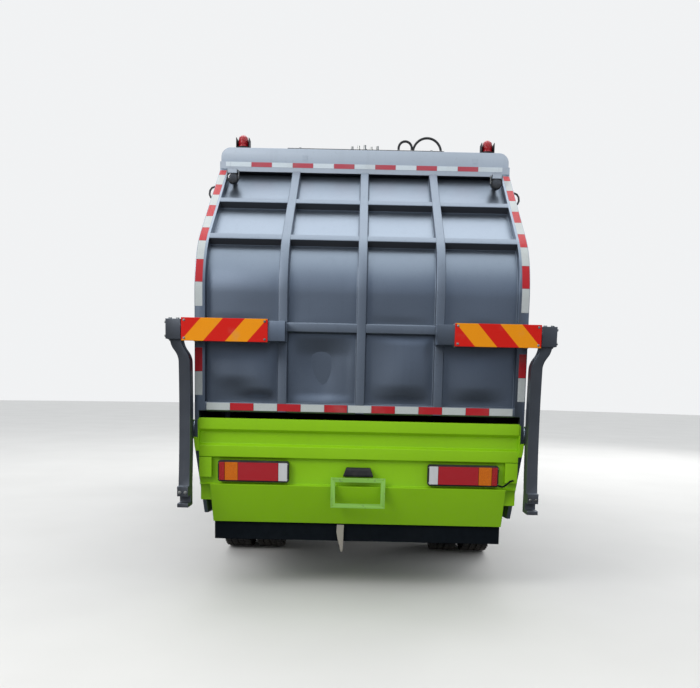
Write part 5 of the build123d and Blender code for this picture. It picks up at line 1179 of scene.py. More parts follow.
for k in range(6):
    bar(dash_parts, -0.1 + 0.04 * k, 0.015, (3.325, 1.515), (3.338, 1.545), index=1)
bar(dash_parts, 0.55, 0.25, (3.36, 1.36), (3.368, 1.362), index=1)
piece_from("dash_fittings", dash_parts, [dash_grey, plastic, dial_face], "cab", "black_plastic", (), 0.0015, 1)
cab_floor = bmesh.new()
bar(cab_floor, 0.0, 1.03, (2.06, 1.0605), (3.48, 1.065))
for k, x in product(range(33), (-0.525, 0.525)):
    y = 2.72 + 0.0225 * k
    bar(cab_floor, x, 0.325, (y, 1.0645), (y + 0.008, 1.0685))
for x, high in ((-0.68, 1.24), (-0.5, 1.22), (-0.36, 1.2)):
    tube(cab_floor, [(x, 3.47, high - 0.04), (x, 3.44, high - 0.1), (x, 3.5, high - 0.13)], 0.008, 8, index=1)
    bar(cab_floor, x, 0.035, (3.462, high - 0.04), (3.478, high + 0.03))
lever_foot = (-0.12, 2.92, 1.064)
tube(cab_floor, [lever_foot, (-0.12, 2.94, 1.25), (-0.14, 2.88, 1.45)], 0.009, 10, index=1)
grip = [(0.0, 0.018), (0.02, 0.027), (0.04, 0.024), (0.05, 0.01), (0.052, 0.0)]
knob(cab_floor, grip, (-0.14, 2.88, 1.44), (0, -0.1, 1), 20)
knob(cab_floor, [(0.0, 0.06), (0.02, 0.05), (0.04, 0.045), (0.07, 0.02)], lever_foot, (0, 0, 1), 20)
piece_from("cab_floor_parts", cab_floor, [sealing, forged], "cab", "rubber", ease=0.0015, steps=1)


# Steering wheel: a moulded ring on three steel spokes, with a horn button, and a stalk each side of its column.
# The column is a steel tube in a moulded sleeve that is bolted under the dashboard.
wheel_heart = Vector((-seat_x, 3.205, 1.76))
wheel_way = Vector((0.0, -sin(radians(35)), cos(radians(35))))
wheel_side = Vector((1.0, 0.0, 0.0))
wheel_up = wheel_way.cross(wheel_side)
steering = bmesh.new()
rim_path = [wheel_heart + wheel_side * u + wheel_up * v for u, v in full_circle(0.223, 48)]
tube(steering, rim_path, 0.0145, 12, loop=True)
for spoke in (90, 210, 330):
    out = wheel_side * cos(radians(spoke)) + wheel_up * sin(radians(spoke))
    across = wheel_way.cross(out)
    stations = []
    for reach, wide, drop in (
        (0.03, 1.0, -0.006), (0.09, 0.8, -0.008), (0.16, 0.55, -0.003), (0.216, 0.65, 0.0),
    ):
        stations.append((wheel_heart + out * reach + wheel_way * drop, across * wide, wheel_way))
    swept(steering, flat(0.02, 0.006), stations)
horn = [(-0.02, 0.045), (0.0, 0.05), (0.012, 0.046), (0.018, 0.036), (0.02, 0.0)]
knob(steering, horn, wheel_heart, wheel_way, 32)
sleeve = [(-0.3, 0.026), (-0.16, 0.028), (-0.13, 0.045), (-0.03, 0.045), (-0.021, 0.03)]
knob(steering, sleeve, wheel_heart, wheel_way, 24)
for side in both:
    start = wheel_heart - wheel_way * 0.07
    stalk = [start, start + wheel_side * side * 0.13 - wheel_way * 0.01, start + wheel_side * side * 0.17]
    tube(steering, stalk, 0.006, 8)
piece_from("wheel_and_column", steering, [plastic], "cab", "black_plastic", ("steering_wheel",), sharp=38)


# Mirrors: a tall moulded shell on a bent steel tube each side, with a flat glass over a small wide-angle one.
# Round feet on the tubes are screwed to the door posts.
eased("mirror_shells", "mirrors", [plastic], "cab", "black_plastic", ease=0.007, steps=3)
mirror_faces = bmesh.new()
for side in both:
    for low_z, high_z in ((1.905, 2.172), (1.79, 1.893)):
        bar(mirror_faces, side * 1.2, 0.061, (3.4985, low_z), (3.502, high_z))
    for z in (1.82, 2.14):
        foot_profile = [(0.0, 0.03), (0.006, 0.03), (0.008, 0.016), (0.01, 0.0)]
        knob(mirror_faces, foot_profile, (side * 1.1005, 3.535, z), (side, 0, 0), 20, index=1)
piece_from("mirror_glasses", mirror_faces, [mirror_bowl, plastic], "cab", "glass", ease=0.0012, steps=1)


# Tailgate shell: two cut side plates, the bent rear posts and the round hopper floor, welded into one steel
# case and painted slate. It hangs on hinges from the body's roof.
eased("tailgate_frame", "tailgate_shell", [slate, slate_edge_wear_and_highlight], "tailgate", "slate_paint", ease=0.005, edge=1)
skin_y = -3.635
bend_z = 2.08
bend_radius = 0.55
lean = radians(50)
gate_foot_z = 1.28
upright_run = bend_z - gate_foot_z
bend_top_run = upright_run + bend_radius * lean
bend_top_z = bend_z + bend_radius * sin(lean)
gate_run = bend_top_run + (3.183 - bend_top_z) / cos(lean)


def gate_spot(run, depth=0.0):
    """A point on the rear line by its run up from the foot and its depth behind the outer face."""
    radius = bend_radius - depth
    if run < upright_run:
        return skin_y + depth, gate_foot_z + run, 0.0
    turn = min((run - upright_run) / bend_radius, lean)
    climb = max(0.0, run - bend_top_run)
    y = skin_y + bend_radius - radius * cos(turn) + climb * sin(lean)
    return y, bend_z + radius * sin(turn) + climb * cos(lean), turn


def gate_runs(start, end, coarse=0.4):
    """Places along the rear line between two runs, close together in the bend only."""
    marks = {start, end}
    marks.update(upright_run + bend_radius * lean * step / 16 for step in range(17))
    marks.update(step * coarse for step in range(1, ceil(gate_run / coarse)))
    return sorted(mark for mark in marks if start <= mark <= end)


# Rear skin: thin sheet set back 57 mm between the ribs and welded to them. Such sheet is never flat: each cell
# has a soft dent or bulge, as the light on the real one shows.
gate_sheet = bmesh.new()
dents = (
    # across, run, half width, half height above and below, depth
    (-0.86, 0.25, 0.13, 0.3, 0.08, -0.016), (-0.69, 0.17, 0.12, 0.3, 0.07, -0.025),
    (-0.27, 0.38, 0.19, 0.1, 0.36, 0.024), (-0.25, 0.27, 0.05, 0.1, 0.16, 0.004),
    (0.29, 0.21, 0.18, 0.3, 0.1, -0.026), (0.16, 0.34, 0.13, 0.2, 0.2, 0.003),
    (0.8, 0.2, 0.15, 0.32, 0.09, -0.022), (0.66, 0.4, 0.12, 0.2, 0.2, 0.003),
    (-0.8, 0.85, 0.24, 0.16, 0.2, -0.005), (-0.27, 0.85, 0.24, 0.2, 0.2, 0.004),
    (0.27, 0.85, 0.24, 0.16, 0.2, -0.004), (0.8, 0.88, 0.22, 0.2, 0.2, 0.005),
    (-0.8, 1.6, 0.22, 0.16, 0.16, -0.0015), (-0.2, 1.58, 0.2, 0.16, 0.16, -0.0025),
    (0.27, 1.6, 0.2, 0.16, 0.16, 0.001), (0.8, 1.6, 0.2, 0.16, 0.16, -0.0015),
)
rib_half = 0.031
slope_rib_runs = [bend_top_run + (z - bend_top_z) / cos(lean) for z in (2.48, 2.81)]
level_bands = [(0.0, 0.062), (0.542, 0.604)]
level_bands += [(run - rib_half, run + rib_half) for run in slope_rib_runs] + [(gate_run - 0.07, gate_run)]
upright_bands = [(-1.2, -1.055), (-0.561, -0.499), (-rib_half, rib_half), (0.499, 0.561), (1.055, 1.2)]


def hold(value, bands, reach=0.07):
    """How free the sheet is, from 0 at the nearest welded edge to 1 away from it."""
    nearest = min(max(low - value, value - high, 0.0) for low, high in bands)
    t = min(1.0, nearest / reach)
    return t * t * (3 - 2 * t)


def sheet_spot(x, run):
    """A place on the dented sheet."""
    free = hold(x, upright_bands) * hold(run, level_bands)
    push = (0.003 if run < bend_top_run else 0.0008) * noise.noise(Vector((x * 3.1, run * 2.7, 4.0)))
    for cx, cr, wide, above, below, deep in dents:
        push += deep * exp(-(((x - cx) / wide) ** 2) - ((run - cr) / (above if run > cr else below)) ** 2)
    return (x, *gate_spot(run, 0.057 + free * push)[:2])


columns, rows = 150, 170
xs = [-1.058 + 2.116 * i / columns for i in range(columns + 1)]
runs = [(gate_run - 0.01) * j / rows for j in range(rows + 1)]
grid = [[gate_sheet.verts.new(sheet_spot(x, run)) for x in xs] for run in runs]
shell = []
for j, i in product(range(rows), range(columns)):
    shell.append(gate_sheet.faces.new((grid[j][i], grid[j][i + 1], grid[j + 1][i + 1], grid[j + 1][i])))
rim = [(0, i) for i in range(columns)] + [(j, columns) for j in range(rows)]
rim += [(rows, i) for i in range(columns, 0, -1)] + [(j, 0) for j in range(rows, 0, -1)]
back = {(j, i): gate_sheet.verts.new((grid[j][i].co.x, *gate_spot(runs[j], 0.078)[:2])) for j, i in rim}
for (j, i), (next_j, next_i) in zip(rim, rim[1:] + rim[:1]):
    shell.append(gate_sheet.faces.new((grid[j][i], back[j, i], back[next_j, next_i], grid[next_j][next_i])))
for j in range(rows):
    low = range(columns + 1) if j == 0 else (0, columns)
    high = range(columns, -1, -1) if j + 1 == rows else (columns, 0)
    shell.append(gate_sheet.faces.new([back[j, i] for i in low] + [back[j + 1, i] for i in high]))
finished_faces(gate_sheet, shell)


# Ribs of pressed channel on the skin, with rolled edges: the upright ones run the whole height, the level ones
# butt against them, and a bead of weld closes every joint. A plain rail lies over their top ends.
rib_round = 0.006
rib_section = [(-rib_half, -0.059), (-rib_half, -rib_round)]
rib_section += [(-rib_half + rib_round - u, v - rib_round) for u, v in arc(rib_round, 22.5, 90, 3)]
rib_section += [(-x, v) for x, v in reversed(rib_section)]
rib_end_run = gate_run - 0.072 / cos(lean)


def weld_bead(places):
    """A wavering bead of weld through places of (x, run, depth, wave, sideways share of the wave)."""
    bead = []
    for x, run, depth, wave, share in places:
        wobble = 0.0012 * noise.noise(Vector(wave))
        bead.append((x + share * wobble, *gate_spot(run, depth + wobble)[:2]))
    tube(gate_sheet, bead, 0.0042, 6, index=1)


for x in (-0.53, 0.0, 0.53):
    stations = []
    for run in gate_runs(0.0, rib_end_run):
        y, z, turn = gate_spot(run)
        stations.append(((x, y, z), (1, 0, 0), (0, -cos(turn), sin(turn))))
    swept(gate_sheet, rib_section, stations, index=1)
for level_run, (start, end) in product(
    (rib_half, 0.573, *slope_rib_runs), ((-1.057, -0.56), (-0.5, -0.03), (0.03, 0.5), (0.56, 1.057))
):
    y, z, turn = gate_spot(level_run, 0.0015)
    stations = [((x, y, z), (0, sin(turn), cos(turn)), (0, -cos(turn), sin(turn))) for x in (start, end)]
    swept(gate_sheet, rib_section, stations, index=1)
    for edge in (-0.0335, 0.0335):
        marks = [start + (end - start) * step / 12 for step in range(13)]
        weld_bead([(x, level_run + edge, 0.055, (x * 40, level_run * 9, edge * 50), 0) for x in marks])
for x in (-1.0525, -0.5635, -0.4965, -0.0335, 0.0335, 0.4965, 0.5635, 1.0525):
    marks = gate_runs(0.01, rib_end_run, coarse=0.1)
    weld_bead([(x, run, 0.0555, (x * 50, run * 30, 2.0), 1) for run in marks])
bar(gate_sheet, 0.0, 1.128, (-2.69, 3.1105), (-2.545, 3.1828), index=2)
# Faces under the level ribs and under the top rail, above 2.3 m, take a near-black paint: painted shade under
# the ribs.
for face in gate_sheet.faces:
    face.normal_update()
    under_rib = face.material_index == 1 and face.normal.y < -0.5 and face.normal.z < -0.35
    under_rail = face.material_index == 2 and face.normal.z < -0.9
    if face.calc_center_median().z > 2.3 and (under_rib or under_rail):
        face.material_index = 3
rib_values = {"metallic": 0.9, "roughness": 0.46, "flake": 0.15, "dust": 0.12, "chips": 0.1}
rib_slate = painted("slate_rib_paint", (0.205, 0.24, 0.29), **rib_values)
# Near-black slate for the rib and rail undersides: painted shade.
painted_rib_shade = painted("slate_under_ribs", (0.035, 0.04, 0.05), metallic=0.3, roughness=0.6, dust=0.0)
header_grey = painted("header_grey", (0.425, 0.485, 0.56), metallic=0.1, roughness=0.45, dust=0.1, chips=0.08)
skin_paints = [slate, rib_slate, header_grey, painted_rib_shade]
piece_from("ribbed_skin", gate_sheet, skin_paints, "tailgate", "slate_paint", ("rear_skin",), sharp=38)


# Marker tape: stuck-on reflective strip in white and red lengths, along the top frame, down both posts and
# along the bottom rib. It is embossed with small cells under a clear film.
def tape_finish(name, colour):
    """Reflective film with a net of darker cell walls and some road stain."""
    finish = Finish(name)
    wall = 1.0 - finish.rise(finish.cells(150.0, "DISTANCE_TO_EDGE"), 0.0, 0.08)
    tone = finish.mix(wall * 0.35, colour, tuple(0.6 * c for c in colour))
    stain = finish.rise(finish.grain(5.0, 5.0), 0.5, 0.8)
    tone = finish.mix(stain * 0.2, tone, (0.3, 0.29, 0.27))
    film = finish.relief(wall, 0.0003)
    return finish.cover(tone, roughness=0.4 + 0.2 * stain, specular_ior_level=0.25, normal=film)


tape_tones = [
    tape_finish("tape_white", (0.5, 0.535, 0.53)),
    tape_finish("tape_red", (0.47, 0.012, 0.02)),
    # Lighter, bluer copies of the same tape for the top frame: painted sky light on the header tape.
    tape_finish("top_tape_white", (0.69, 0.77, 0.82)),
    tape_finish("top_tape_red", (0.52, 0.08, 0.11)),
]
tapes = bmesh.new()


def tape_length(tone, left, right, low, high):
    """One length of tape, 1 mm thick, between two x values and two (y, z) places of its outside."""
    corners = [Vector(c) for c in ((left, *low), (right, *low), (right, *high), (left, *high))]
    away = (corners[1] - corners[0]).cross(corners[2] - corners[1]).normalized()
    inside = [tapes.verts.new(c - away * 0.0004) for c in corners]
    outside = [tapes.verts.new(c + away * 0.001) for c in corners]
    faces = [tapes.faces.new(outside), tapes.faces.new(inside[::-1])]
    for k in range(4):
        m = (k + 1) % 4
        faces.append(tapes.faces.new((inside[k], inside[m], outside[m], outside[k])))
    for face in faces:
        face.material_index = tone


def level_tape(start, end, count, low_z, high_z, y, tone=0, gap_after=0):
    """A level row of tape lengths in two tones by turns, with one wider gap if asked."""
    pitch = (end - start) / count
    for k in range(count):
        right = start + pitch * (k + 1) - (0.006 if k + 1 == gap_after else 0.001)
        tape_length(tone + k % 2, start + pitch * k + 0.001, right, (y, low_z), (y, high_z))


# The top row uses the lighter copies, tones 2 and 3: painted sky light.
for start, end, count in ((-1.045, 1.044, 13), (-1.083, -1.045, 1), (1.044, 1.072, 1)):
    level_tape(start, end, count, 3.146, 3.181, -2.6903, tone=2)
level_tape(-1.045, 1.044, 13, 1.2865, 1.3355, -3.6352, gap_after=6)
tape_pitch = 0.1607
tape_runs = []
for step in range(12):
    run = 0.7 + tape_pitch * step
    if run + 0.02 < rib_end_run:
        tape_runs.append((min(run + tape_pitch, rib_end_run - 0.005), run, step % 2))
tape_runs += [(0.4257, 0.265, 1), (0.265, 0.1043, 0)]
for side, (high_run, low_run, tone) in product(both, tape_runs):
    left, right = sorted((side * 1.072, side * 1.121))
    marks = gate_runs(low_run + 0.001, high_run - 0.001, coarse=5.0)
    for low_mark, high_mark in zip(marks, marks[1:]):
        tape_length(tone, left, right, gate_spot(low_mark)[:2], gate_spot(high_mark)[:2])
piece_from("marker_tape", tapes, tape_tones, "tailgate", "board")


# Header: a folded sheet beam over the tailgate's top, painted a lighter grey, with the hinge knuckles in front.
# Fine joints show where its cover plates meet, and two small plates are fixed to its rear face.
eased("header_cover", "header_beam", [header_grey], "tailgate", "header_paint")
header_trim = bmesh.new()
tube(header_trim, [(-1.12, -2.654, 3.1855), (1.12, -2.654, 3.1855)], 0.003, 6)
for x in (-0.7, -0.18, 0.36, 0.88):
    bar(header_trim, x, 0.001, (-2.6558, 3.187), (-2.6545, 3.294))
for x in (-0.47, 0.86):
    bar(header_trim, x, 0.02, (-2.6575, 3.215), (-2.6548, 3.25))
piece_from("header_seams", header_trim, [header_grey], "tailgate", "header_paint", ease=0.0008, steps=1)


# Hydraulic lines on the header: two clipped pipes, a drilled block with screwed nuts, and two hoses bent in
# stiff arches between crimped fittings. A short hose loops out of each side plate.
hose_rubber = Finish("hose_rubber")
weave = hose_rubber.waves(190.0, "DIAGONAL")
hose_tone = hose_rubber.mix(weave, (0.012, 0.012, 0.014), (0.03, 0.03, 0.033))
hose_rubber.cover(hose_tone, roughness=0.55 + 0.1 * weave, normal=hose_rubber.relief(weave, 0.0004))
lines = bmesh.new()
hose_y = -2.565
deck_z = 3.2995
fitting = [
    (0.0, 0.0135), (0.008, 0.0135), (0.008, 0.0115), (0.012, 0.0115), (0.012, 0.0125), (0.03, 0.0125),
    (0.032, 0.0105), (0.033, 0.0),
]
for left_x, right_x, top_z in ((0.264, 0.368, 3.399), (0.378, 0.6, 3.427)):
    radius = (right_x - left_x) / 2
    middle = (left_x + right_x) / 2
    bow_z = top_z - radius
    leg_z = 3.3 + (bow_z - 3.3) * 0.6
    path = [(left_x, hose_y, 3.3), (left_x, hose_y, leg_z)]
    path += [(middle + u, hose_y, bow_z + v) for u, v in arc(radius, 180, 0, 24)]
    path += [(right_x, hose_y, leg_z), (right_x, hose_y, 3.3)]
    tube(lines, path, 0.0095)
    for x in (left_x, right_x):
        knob(lines, fitting, (x, hose_y, deck_z), (0, 0, 1), 12, index=1)
bar(lines, -0.005, 0.125, (hose_y - 0.02, deck_z), (hose_y + 0.02, 3.322), index=1)
for k in range(5):
    high = 0.03 + 0.006 * (k % 3)
    nut = [(0.0, 0.014), (0.01, 0.014), (0.011, 0.0105), (high, 0.01)]
    knob(lines, nut, (-0.103 + 0.05 * k, hose_y, 3.3215), (0, 0, 1), 6 if k % 2 else 12, index=1)
for pipe_y, start, end in ((-2.612, -0.61, 0.62), (-2.59, -0.13, 0.42)):
    tube(lines, [(start, pipe_y, 3.3085), (end, pipe_y, 3.3085)], 0.0085, 10)
    for x in (start + 0.1, (start + end) / 2, end - 0.1):
        bar(lines, x, 0.008, (pipe_y - 0.012, deck_z), (pipe_y + 0.012, 3.3185), index=1)
side_loop = [
    (1.126, -2.755, 2.975), (1.15, -2.758, 2.975), (1.176, -2.768, 2.962), (1.188, -2.782, 2.938),
    (1.188, -2.8, 2.905), (1.176, -2.812, 2.88), (1.15, -2.82, 2.868), (1.126, -2.82, 2.868),
]
ferrule = [(0.0, 0.014), (0.014, 0.0125), (0.024, 0.0105)]
for side in both:
    tube(lines, [(side * x, y, z) for x, y, z in side_loop], 0.0075, 10)
    for x, y, z in (side_loop[0], side_loop[-1]):
        knob(lines, ferrule, (side * (x - 0.003), y, z), (side, 0, 0), 12, index=1)
piece_from("header_lines", lines, [hose_rubber, zinc], "tailgate", "rubber", ("header_hoses",), sharp=32)


# Beacons and work lamps: ribbed red domes in black moulded guards that are open to the rear, and round lamps
# with finned backs, each hung from a bracket by two side straps.
red_tones = ((0.33, 0.006, 0.012), (0.45, 0.012, 0.02))
red_lens = lens("red_lens", lambda f: f.waves(60.0, "Z"), *red_tones, 0.08, **coloured)
feet = node_shape("lamp_housings")
bmesh.ops.delete(feet, geom=[spot for spot in feet.verts if spot.co.z > 3.25], context="VERTS")
domes = bmesh.new()
dome = [(0.0, 0.0425), (0.007, 0.0425), (0.008, 0.0405)]
for step in range(9):
    swell = 0.0415 - 0.00018 * (step - 3) ** 2
    dome += [(0.0105 + 0.0068 * step, swell), (0.0138 + 0.0068 * step, swell - 0.0014)]
dome += [(0.0745, 0.034), (0.082, 0.027), (0.088, 0.0195), (0.0925, 0.0115), (0.0947, 0.0045), (0.095, 0.0)]
dome_ring = [(0.0, 0.0445), (0.006, 0.0445), (0.0075, 0.042)]
beacon_y, guard_half, guard_wall = -2.6, 0.0515, 0.005
guard_low_y, guard_high_y = beacon_y - 0.045, beacon_y + 0.045
for side in both:
    x = side * 0.96
    knob(domes, dome, (x, beacon_y, 3.3145), (0, 0, 1), 40)
    knob(domes, dome_ring, (x, beacon_y, 3.3095), (0, 0, 1), 40, index=1)
    bar(feet, x, guard_half, (guard_low_y, deck_z), (guard_high_y, 3.3105))
    for wall_x in (x - guard_half + guard_wall / 2, x + guard_half - guard_wall / 2):
        bar(feet, wall_x, guard_wall / 2, (guard_low_y, 3.3), (guard_high_y, 3.378))
    bar(feet, x, 0.05, (guard_high_y - guard_wall, 3.3), (guard_high_y, 3.378))
piece_from("lamp_feet", feet, [plastic], "tailgate", "black_plastic", ("lamp_housings",), 0.0018, edge=0)
piece_from("beacon_lenses", domes, [red_lens, plastic], "tailgate", "lens", ("beacon_domes",), sharp=28)
led_white = Finish("lamp_face")
led_cells = led_white.cells(55.0, "DISTANCE_TO_EDGE")
led_tone = led_white.mix(led_white.rise(led_cells, 0.0, 0.12), (0.02, 0.021, 0.024), (0.06, 0.064, 0.07))
led_white.cover(led_tone, roughness=0.08 + 0.1 * led_cells, coat_weight=1.0, metallic=0.3)
work_lamps = bmesh.new()
work_y, work_z = -2.88, 3.015
glass = [(-0.001, 0.034), (0.001, 0.034), (0.003, 0.026), (0.0035, 0.0)]
bezel = [(-0.004, 0.0335), (-0.004, 0.0418), (0.004, 0.0418), (0.005, 0.0395), (0.004, 0.0345)]
for x in (-1.0, 1.0):
    knob(work_lamps, glass, (x, work_y, work_z), (0, -1, 0), 40, index=1)
    turned(work_lamps, bezel, (x, work_y, work_z), (0, -1, 0), 40, closed=True)
    for k in range(4):
        fin = 0.036 - 0.005 * k
        fin_place = (x, work_y + 0.05 + 0.008 * k, work_z)
        knob(work_lamps, [(-0.001, fin), (0.0025, fin)], fin_place, (0, 1, 0), 28)
    knob(work_lamps, [(0.0, 0.016), (0.03, 0.015)], (x, work_y + 0.05, work_z), (0, 1, 0), 20)
    for strap in both:
        strap_x = x + strap * 0.0435
        bar(work_lamps, strap_x, 0.0025, (work_y + 0.014, 3.01), (work_y + 0.04, 3.073), index=2)
        screw = (strap_x + strap * 0.002, work_y + 0.027, work_z)
        knob(work_lamps, [(0.0, 0.007), (0.004, 0.007), (0.005, 0.0)], screw, (strap, 0, 0), 6)
    bar(work_lamps, x, 0.046, (work_y + 0.014, 3.068), (work_y + 0.04, 3.073), index=2)
    bar(work_lamps, x, 0.034, (work_y - 0.009, 3.046), (work_y - 0.005, 3.082), index=3)
    bar(work_lamps, x, 0.034, (work_y - 0.009, 3.078), (work_y + 0.1, 3.082), index=3)
    bar(work_lamps, x, 0.022, (work_y + 0.03, 3.0725), (work_y + 0.1, 3.078), index=2)
lamp_paints = [plastic, led_white, zinc, header_grey]
piece_from("work_lamp_faces", work_lamps, lamp_paints, "tailgate", "clear_lens", ease=0.0015, steps=1)


# Pivot housings: welded box brackets on the outer ribs, each with a shaft end for its lift arm and bolts above
# and below its outer end.
pivot_y, pivot_z = -3.743, 1.815
eased("pivot_boxes", "pivot_housings", [slate, slate_edge_wear_and_highlight], "tailgate", "slate_paint", ease=0.005, edge=1)
housing_bolts = []
for side, x, up, y in product(both, (1.09, 0.62), both, (-3.77, -3.715)):
    housing_bolts.append(((side * x, y, pivot_z + up * 0.065), (0, 0, up), 1.1))
heads("housing_bolts", housing_bolts, "tailgate", zinc)


# Marking boards: flat steel plates with slanted red and orange bands under clear reflective film, riveted at
# their corners to the housings.
def board_finish(name, side):
    """Bands lean toward the truck's middle at their top on each side."""
    finish = Finish(name)
    slant = side * finish.axis("X") + 0.87 * (finish.axis("Z") - 1.74)
    band = (1.1765 - slant) / 0.1437
    zigzag = finish.add("ShaderNodeMath", {"operation": "PINGPONG"}, {0: band + 0.5, 1: 1.0})
    mask = finish.rise(zigzag, 0.49, 0.51)
    wall = 1.0 - finish.rise(finish.cells(120.0, "DISTANCE_TO_EDGE"), 0.0, 0.06)
    tone = finish.mix(mask, (0.62, 0.011, 0.007), (0.83, 0.29, 0.005))
    tone = finish.mix(wall * 0.12, tone, (0.4, 0.1, 0.03))
    smear = finish.rise(finish.grain(7.0, 5.0), 0.55, 0.8)
    tone = finish.mix(smear * 0.2, tone, (0.3, 0.27, 0.22))
    film = finish.relief(wall, 0.0002)
    return finish.cover(tone, roughness=0.42 + 0.2 * smear, specular_ior_level=0.12, normal=film)


board_tones = [board_finish("board_bands_left", -1), board_finish("board_bands_right", 1)]
boards = bmesh.new()
for index, x in enumerate((-0.8935, 0.8935)):
    bar(boards, x, 0.2825, (-3.81, 1.74), (-3.795, 1.89), index)
piece_from("striped_boards", boards, board_tones, "tailgate", "board", ("marking_boards",), ease=0.0025)
board_rivets = []
for side, x, z in product(both, (0.63, 1.157), (1.757, 1.873)):
    board_rivets.append(((side * x, -3.81, z), (0, -1, 0), 0.55))
heads("board_rivets", board_rivets, "tailgate", zinc, sides=12)


# Lift arms: welded steel boxes on the shaft ends, each with a bolted hub cap. They are cranked inward in a soft
# bend below the hub, hang straight down past the bucket and end in an open jaw.
arm_values = {"metallic": 0.5, "roughness": 0.36, "dust": 0.12, "streak": 0.15, "chips": 0.15}
arm_paint = painted("arm_slate", (0.075, 0.084, 0.1), **arm_values)
arm_shape = node_shape("lift_arms")
crank_edges = []
for edge in arm_shape.edges:
    one, two = (v.co for v in edge.verts)
    level = abs(one.x - two.x) < 1e-4 and abs(one.z - two.z) < 1e-4
    if level and min(abs(one.z - z) for z in (1.64, 1.715)) < 1e-3:
        crank_edges.append(edge)
bmesh.ops.bevel(arm_shape, geom=crank_edges, offset=0.034, segments=5, profile=0.5, affect="EDGES")
for face in arm_shape.faces:
    face.material_index = 0
# The arms' eased edges take the lighter slate: worn paint and a painted edge highlight.
arm_paints = [arm_paint, slate_edge_wear_and_highlight]
piece_from("bowed_arms", arm_shape, arm_paints, "lift_arm_pair", "slate_paint", ("lift_arms",), 0.005, edge=1)
arm_bolts = []
for side in both:
    for dy, dz in product((-0.045, 0.045), (-0.045, 0.045)):
        arm_bolts.append(((side * 1.2775, pivot_y + dy, pivot_z + dz), (side, 0, 0), 0.9))
    for x in (1.212, 1.261):
        arm_bolts.append(((side * x, pivot_y, 1.88), (0, 0, 1), 1.15))
        arm_bolts.append(((side * x, pivot_y, 1.75), (0, 0, -1), 0.9))
    for x in (1.145, 1.183):
        arm_bolts.append(((side * x, -3.833, 0.74), (0, -1, 0), 0.8))
heads("arm_bolts", arm_bolts, "lift_arm_pair", zinc)


# Bucket: a tipping tray pressed from thick sheet in green, with a rolled rim, a stepped rear face with a lamp
# recess, and a lower wedge that narrows to its foot. A worn strap and a lamp cable hang from it.
green_values = {"coat": 0.06, "dust": 0.05, "gloss": 0.25}
green = painted("green_paint", (0.255, 0.54, 0.002), roughness=0.4, streak=0.06, chips=0.02, **green_values)
green_edge = painted("green_worn_edge", (0.27, 0.57, 0.004), roughness=0.42, chips=0.1, **green_values)
bucket_shape = node_shape("bucket")
for spot in bucket_shape.verts:
    for pressed_z, set_z in ((1.17, 1.158), (1.154, 1.138), (1.082, 1.06), (1.07, 1.046)):
        if abs(spot.co.z - pressed_z) < 1e-4 and spot.co.y < -3.6:
            spot.co.z = set_z
            break
greens = [green, green_edge]
piece_from("green_bucket", bucket_shape, greens, "bucket_tray", "green_paint", ("bucket",), 0.014, 4, edge=1)
bucket_ends = bmesh.new()
ear = [(0.0, 0.066), (0.007, 0.066), (0.009, 0.063)]
pin_end = [(0.0, 0.036), (0.012, 0.036), (0.015, 0.032)]
for side in both:
    bar(bucket_ends, side * 1.0465, 0.0425, (-3.6645, 0.828), (-3.634, 0.965))
    bar(bucket_ends, side * 1.0935, 0.0055, (-3.664, 1.02), (-3.6, 1.222))
    lug_way = [(side * 1.1, -3.668, 1.008), (side * 1.106, -3.668, 1.04), (side * 1.113, -3.665, 1.1)]
    swept(bucket_ends, flat(0.012, 0.008), [(spot, (1, 0, 0), (0, 1, 0)) for spot in lug_way])
    knob(bucket_ends, ear, (side * 1.1385, -3.59, 1.15), (side, 0, 0), 40)
    knob(bucket_ends, pin_end, (side * 1.146, -3.59, 1.15), (side, 0, 0), 32, index=1)
piece_from("bucket_ends_and_ears", bucket_ends, [green, zinc], "bucket_tray", "green_paint", ease=0.003)
drain = bmesh.new()
strap_stations = []
for x, y, z, wide in (
    (-0.118, -3.53, 0.49, 1.0), (-0.12, -3.536, 0.44, 1.0), (-0.116, -3.541, 0.39, 0.8),
    (-0.11, -3.54, 0.34, 0.5), (-0.107, -3.537, 0.3, 0.25),
):
    strap_stations.append(((x, y, z), (wide, 0, 0), (0, 1, 0)))
swept(drain, flat(0.025, 0.0025), strap_stations)
cable = [
    (0.955, -3.668, 0.812), (0.99, -3.67, 0.802), (1.015, -3.67, 0.818), (1.04, -3.669, 0.842),
    (1.062, -3.667, 0.848),
]
tube(drain, cable, 0.006, 8, index=1)


# Rubber skirt: a strip of conveyor belt that hangs under the bucket's foot and closes the gap to the road side.
# It waves a little toward its free lower edge.
belt = Finish("belt_rubber")
belt_mud = belt.rise(belt.grain(4.0, 5.0), 0.45, 0.8)
belt_tone = belt.mix(belt.grain(30.0, 4.0), (0.003, 0.0045, 0.0065), (0.007, 0.01, 0.0135))
belt_tone = belt.mix(belt_mud * 0.02, belt_tone, (0.1, 0.09, 0.075))
belt_relief = belt.relief(belt.grain(220.0, 4.0), 0.0005)
belt.cover(belt_tone, roughness=0.75 + 0.15 * belt_mud, specular_ior_level=0.05, normal=belt_relief)
drain_strap = painted("drain_strap", (0.3, 0.28, 0.24), roughness=0.6, dust=0.2, gloss=0.3)
piece_from("drain_strap_and_cable", drain, [drain_strap, belt], "bucket_tray", "rubber", sharp=30)
skirt = bmesh.new()
front, back = [], []
for sheet, out in ((front, -0.0055), (back, 0.0055)):
    for k in range(61):
        x = -1.009 + 2.018 * k / 60
        wave = 0.003 * sin(x * 9.0) + 0.0015 * sin(x * 23.0)
        falls = ((0.5, 0.0), (0.46, 0.2), (0.42, 0.6), (0.371, 1.0))
        sheet.append([skirt.verts.new((x, -3.51 + wave * share + out, z)) for z, share in falls])
faces = []
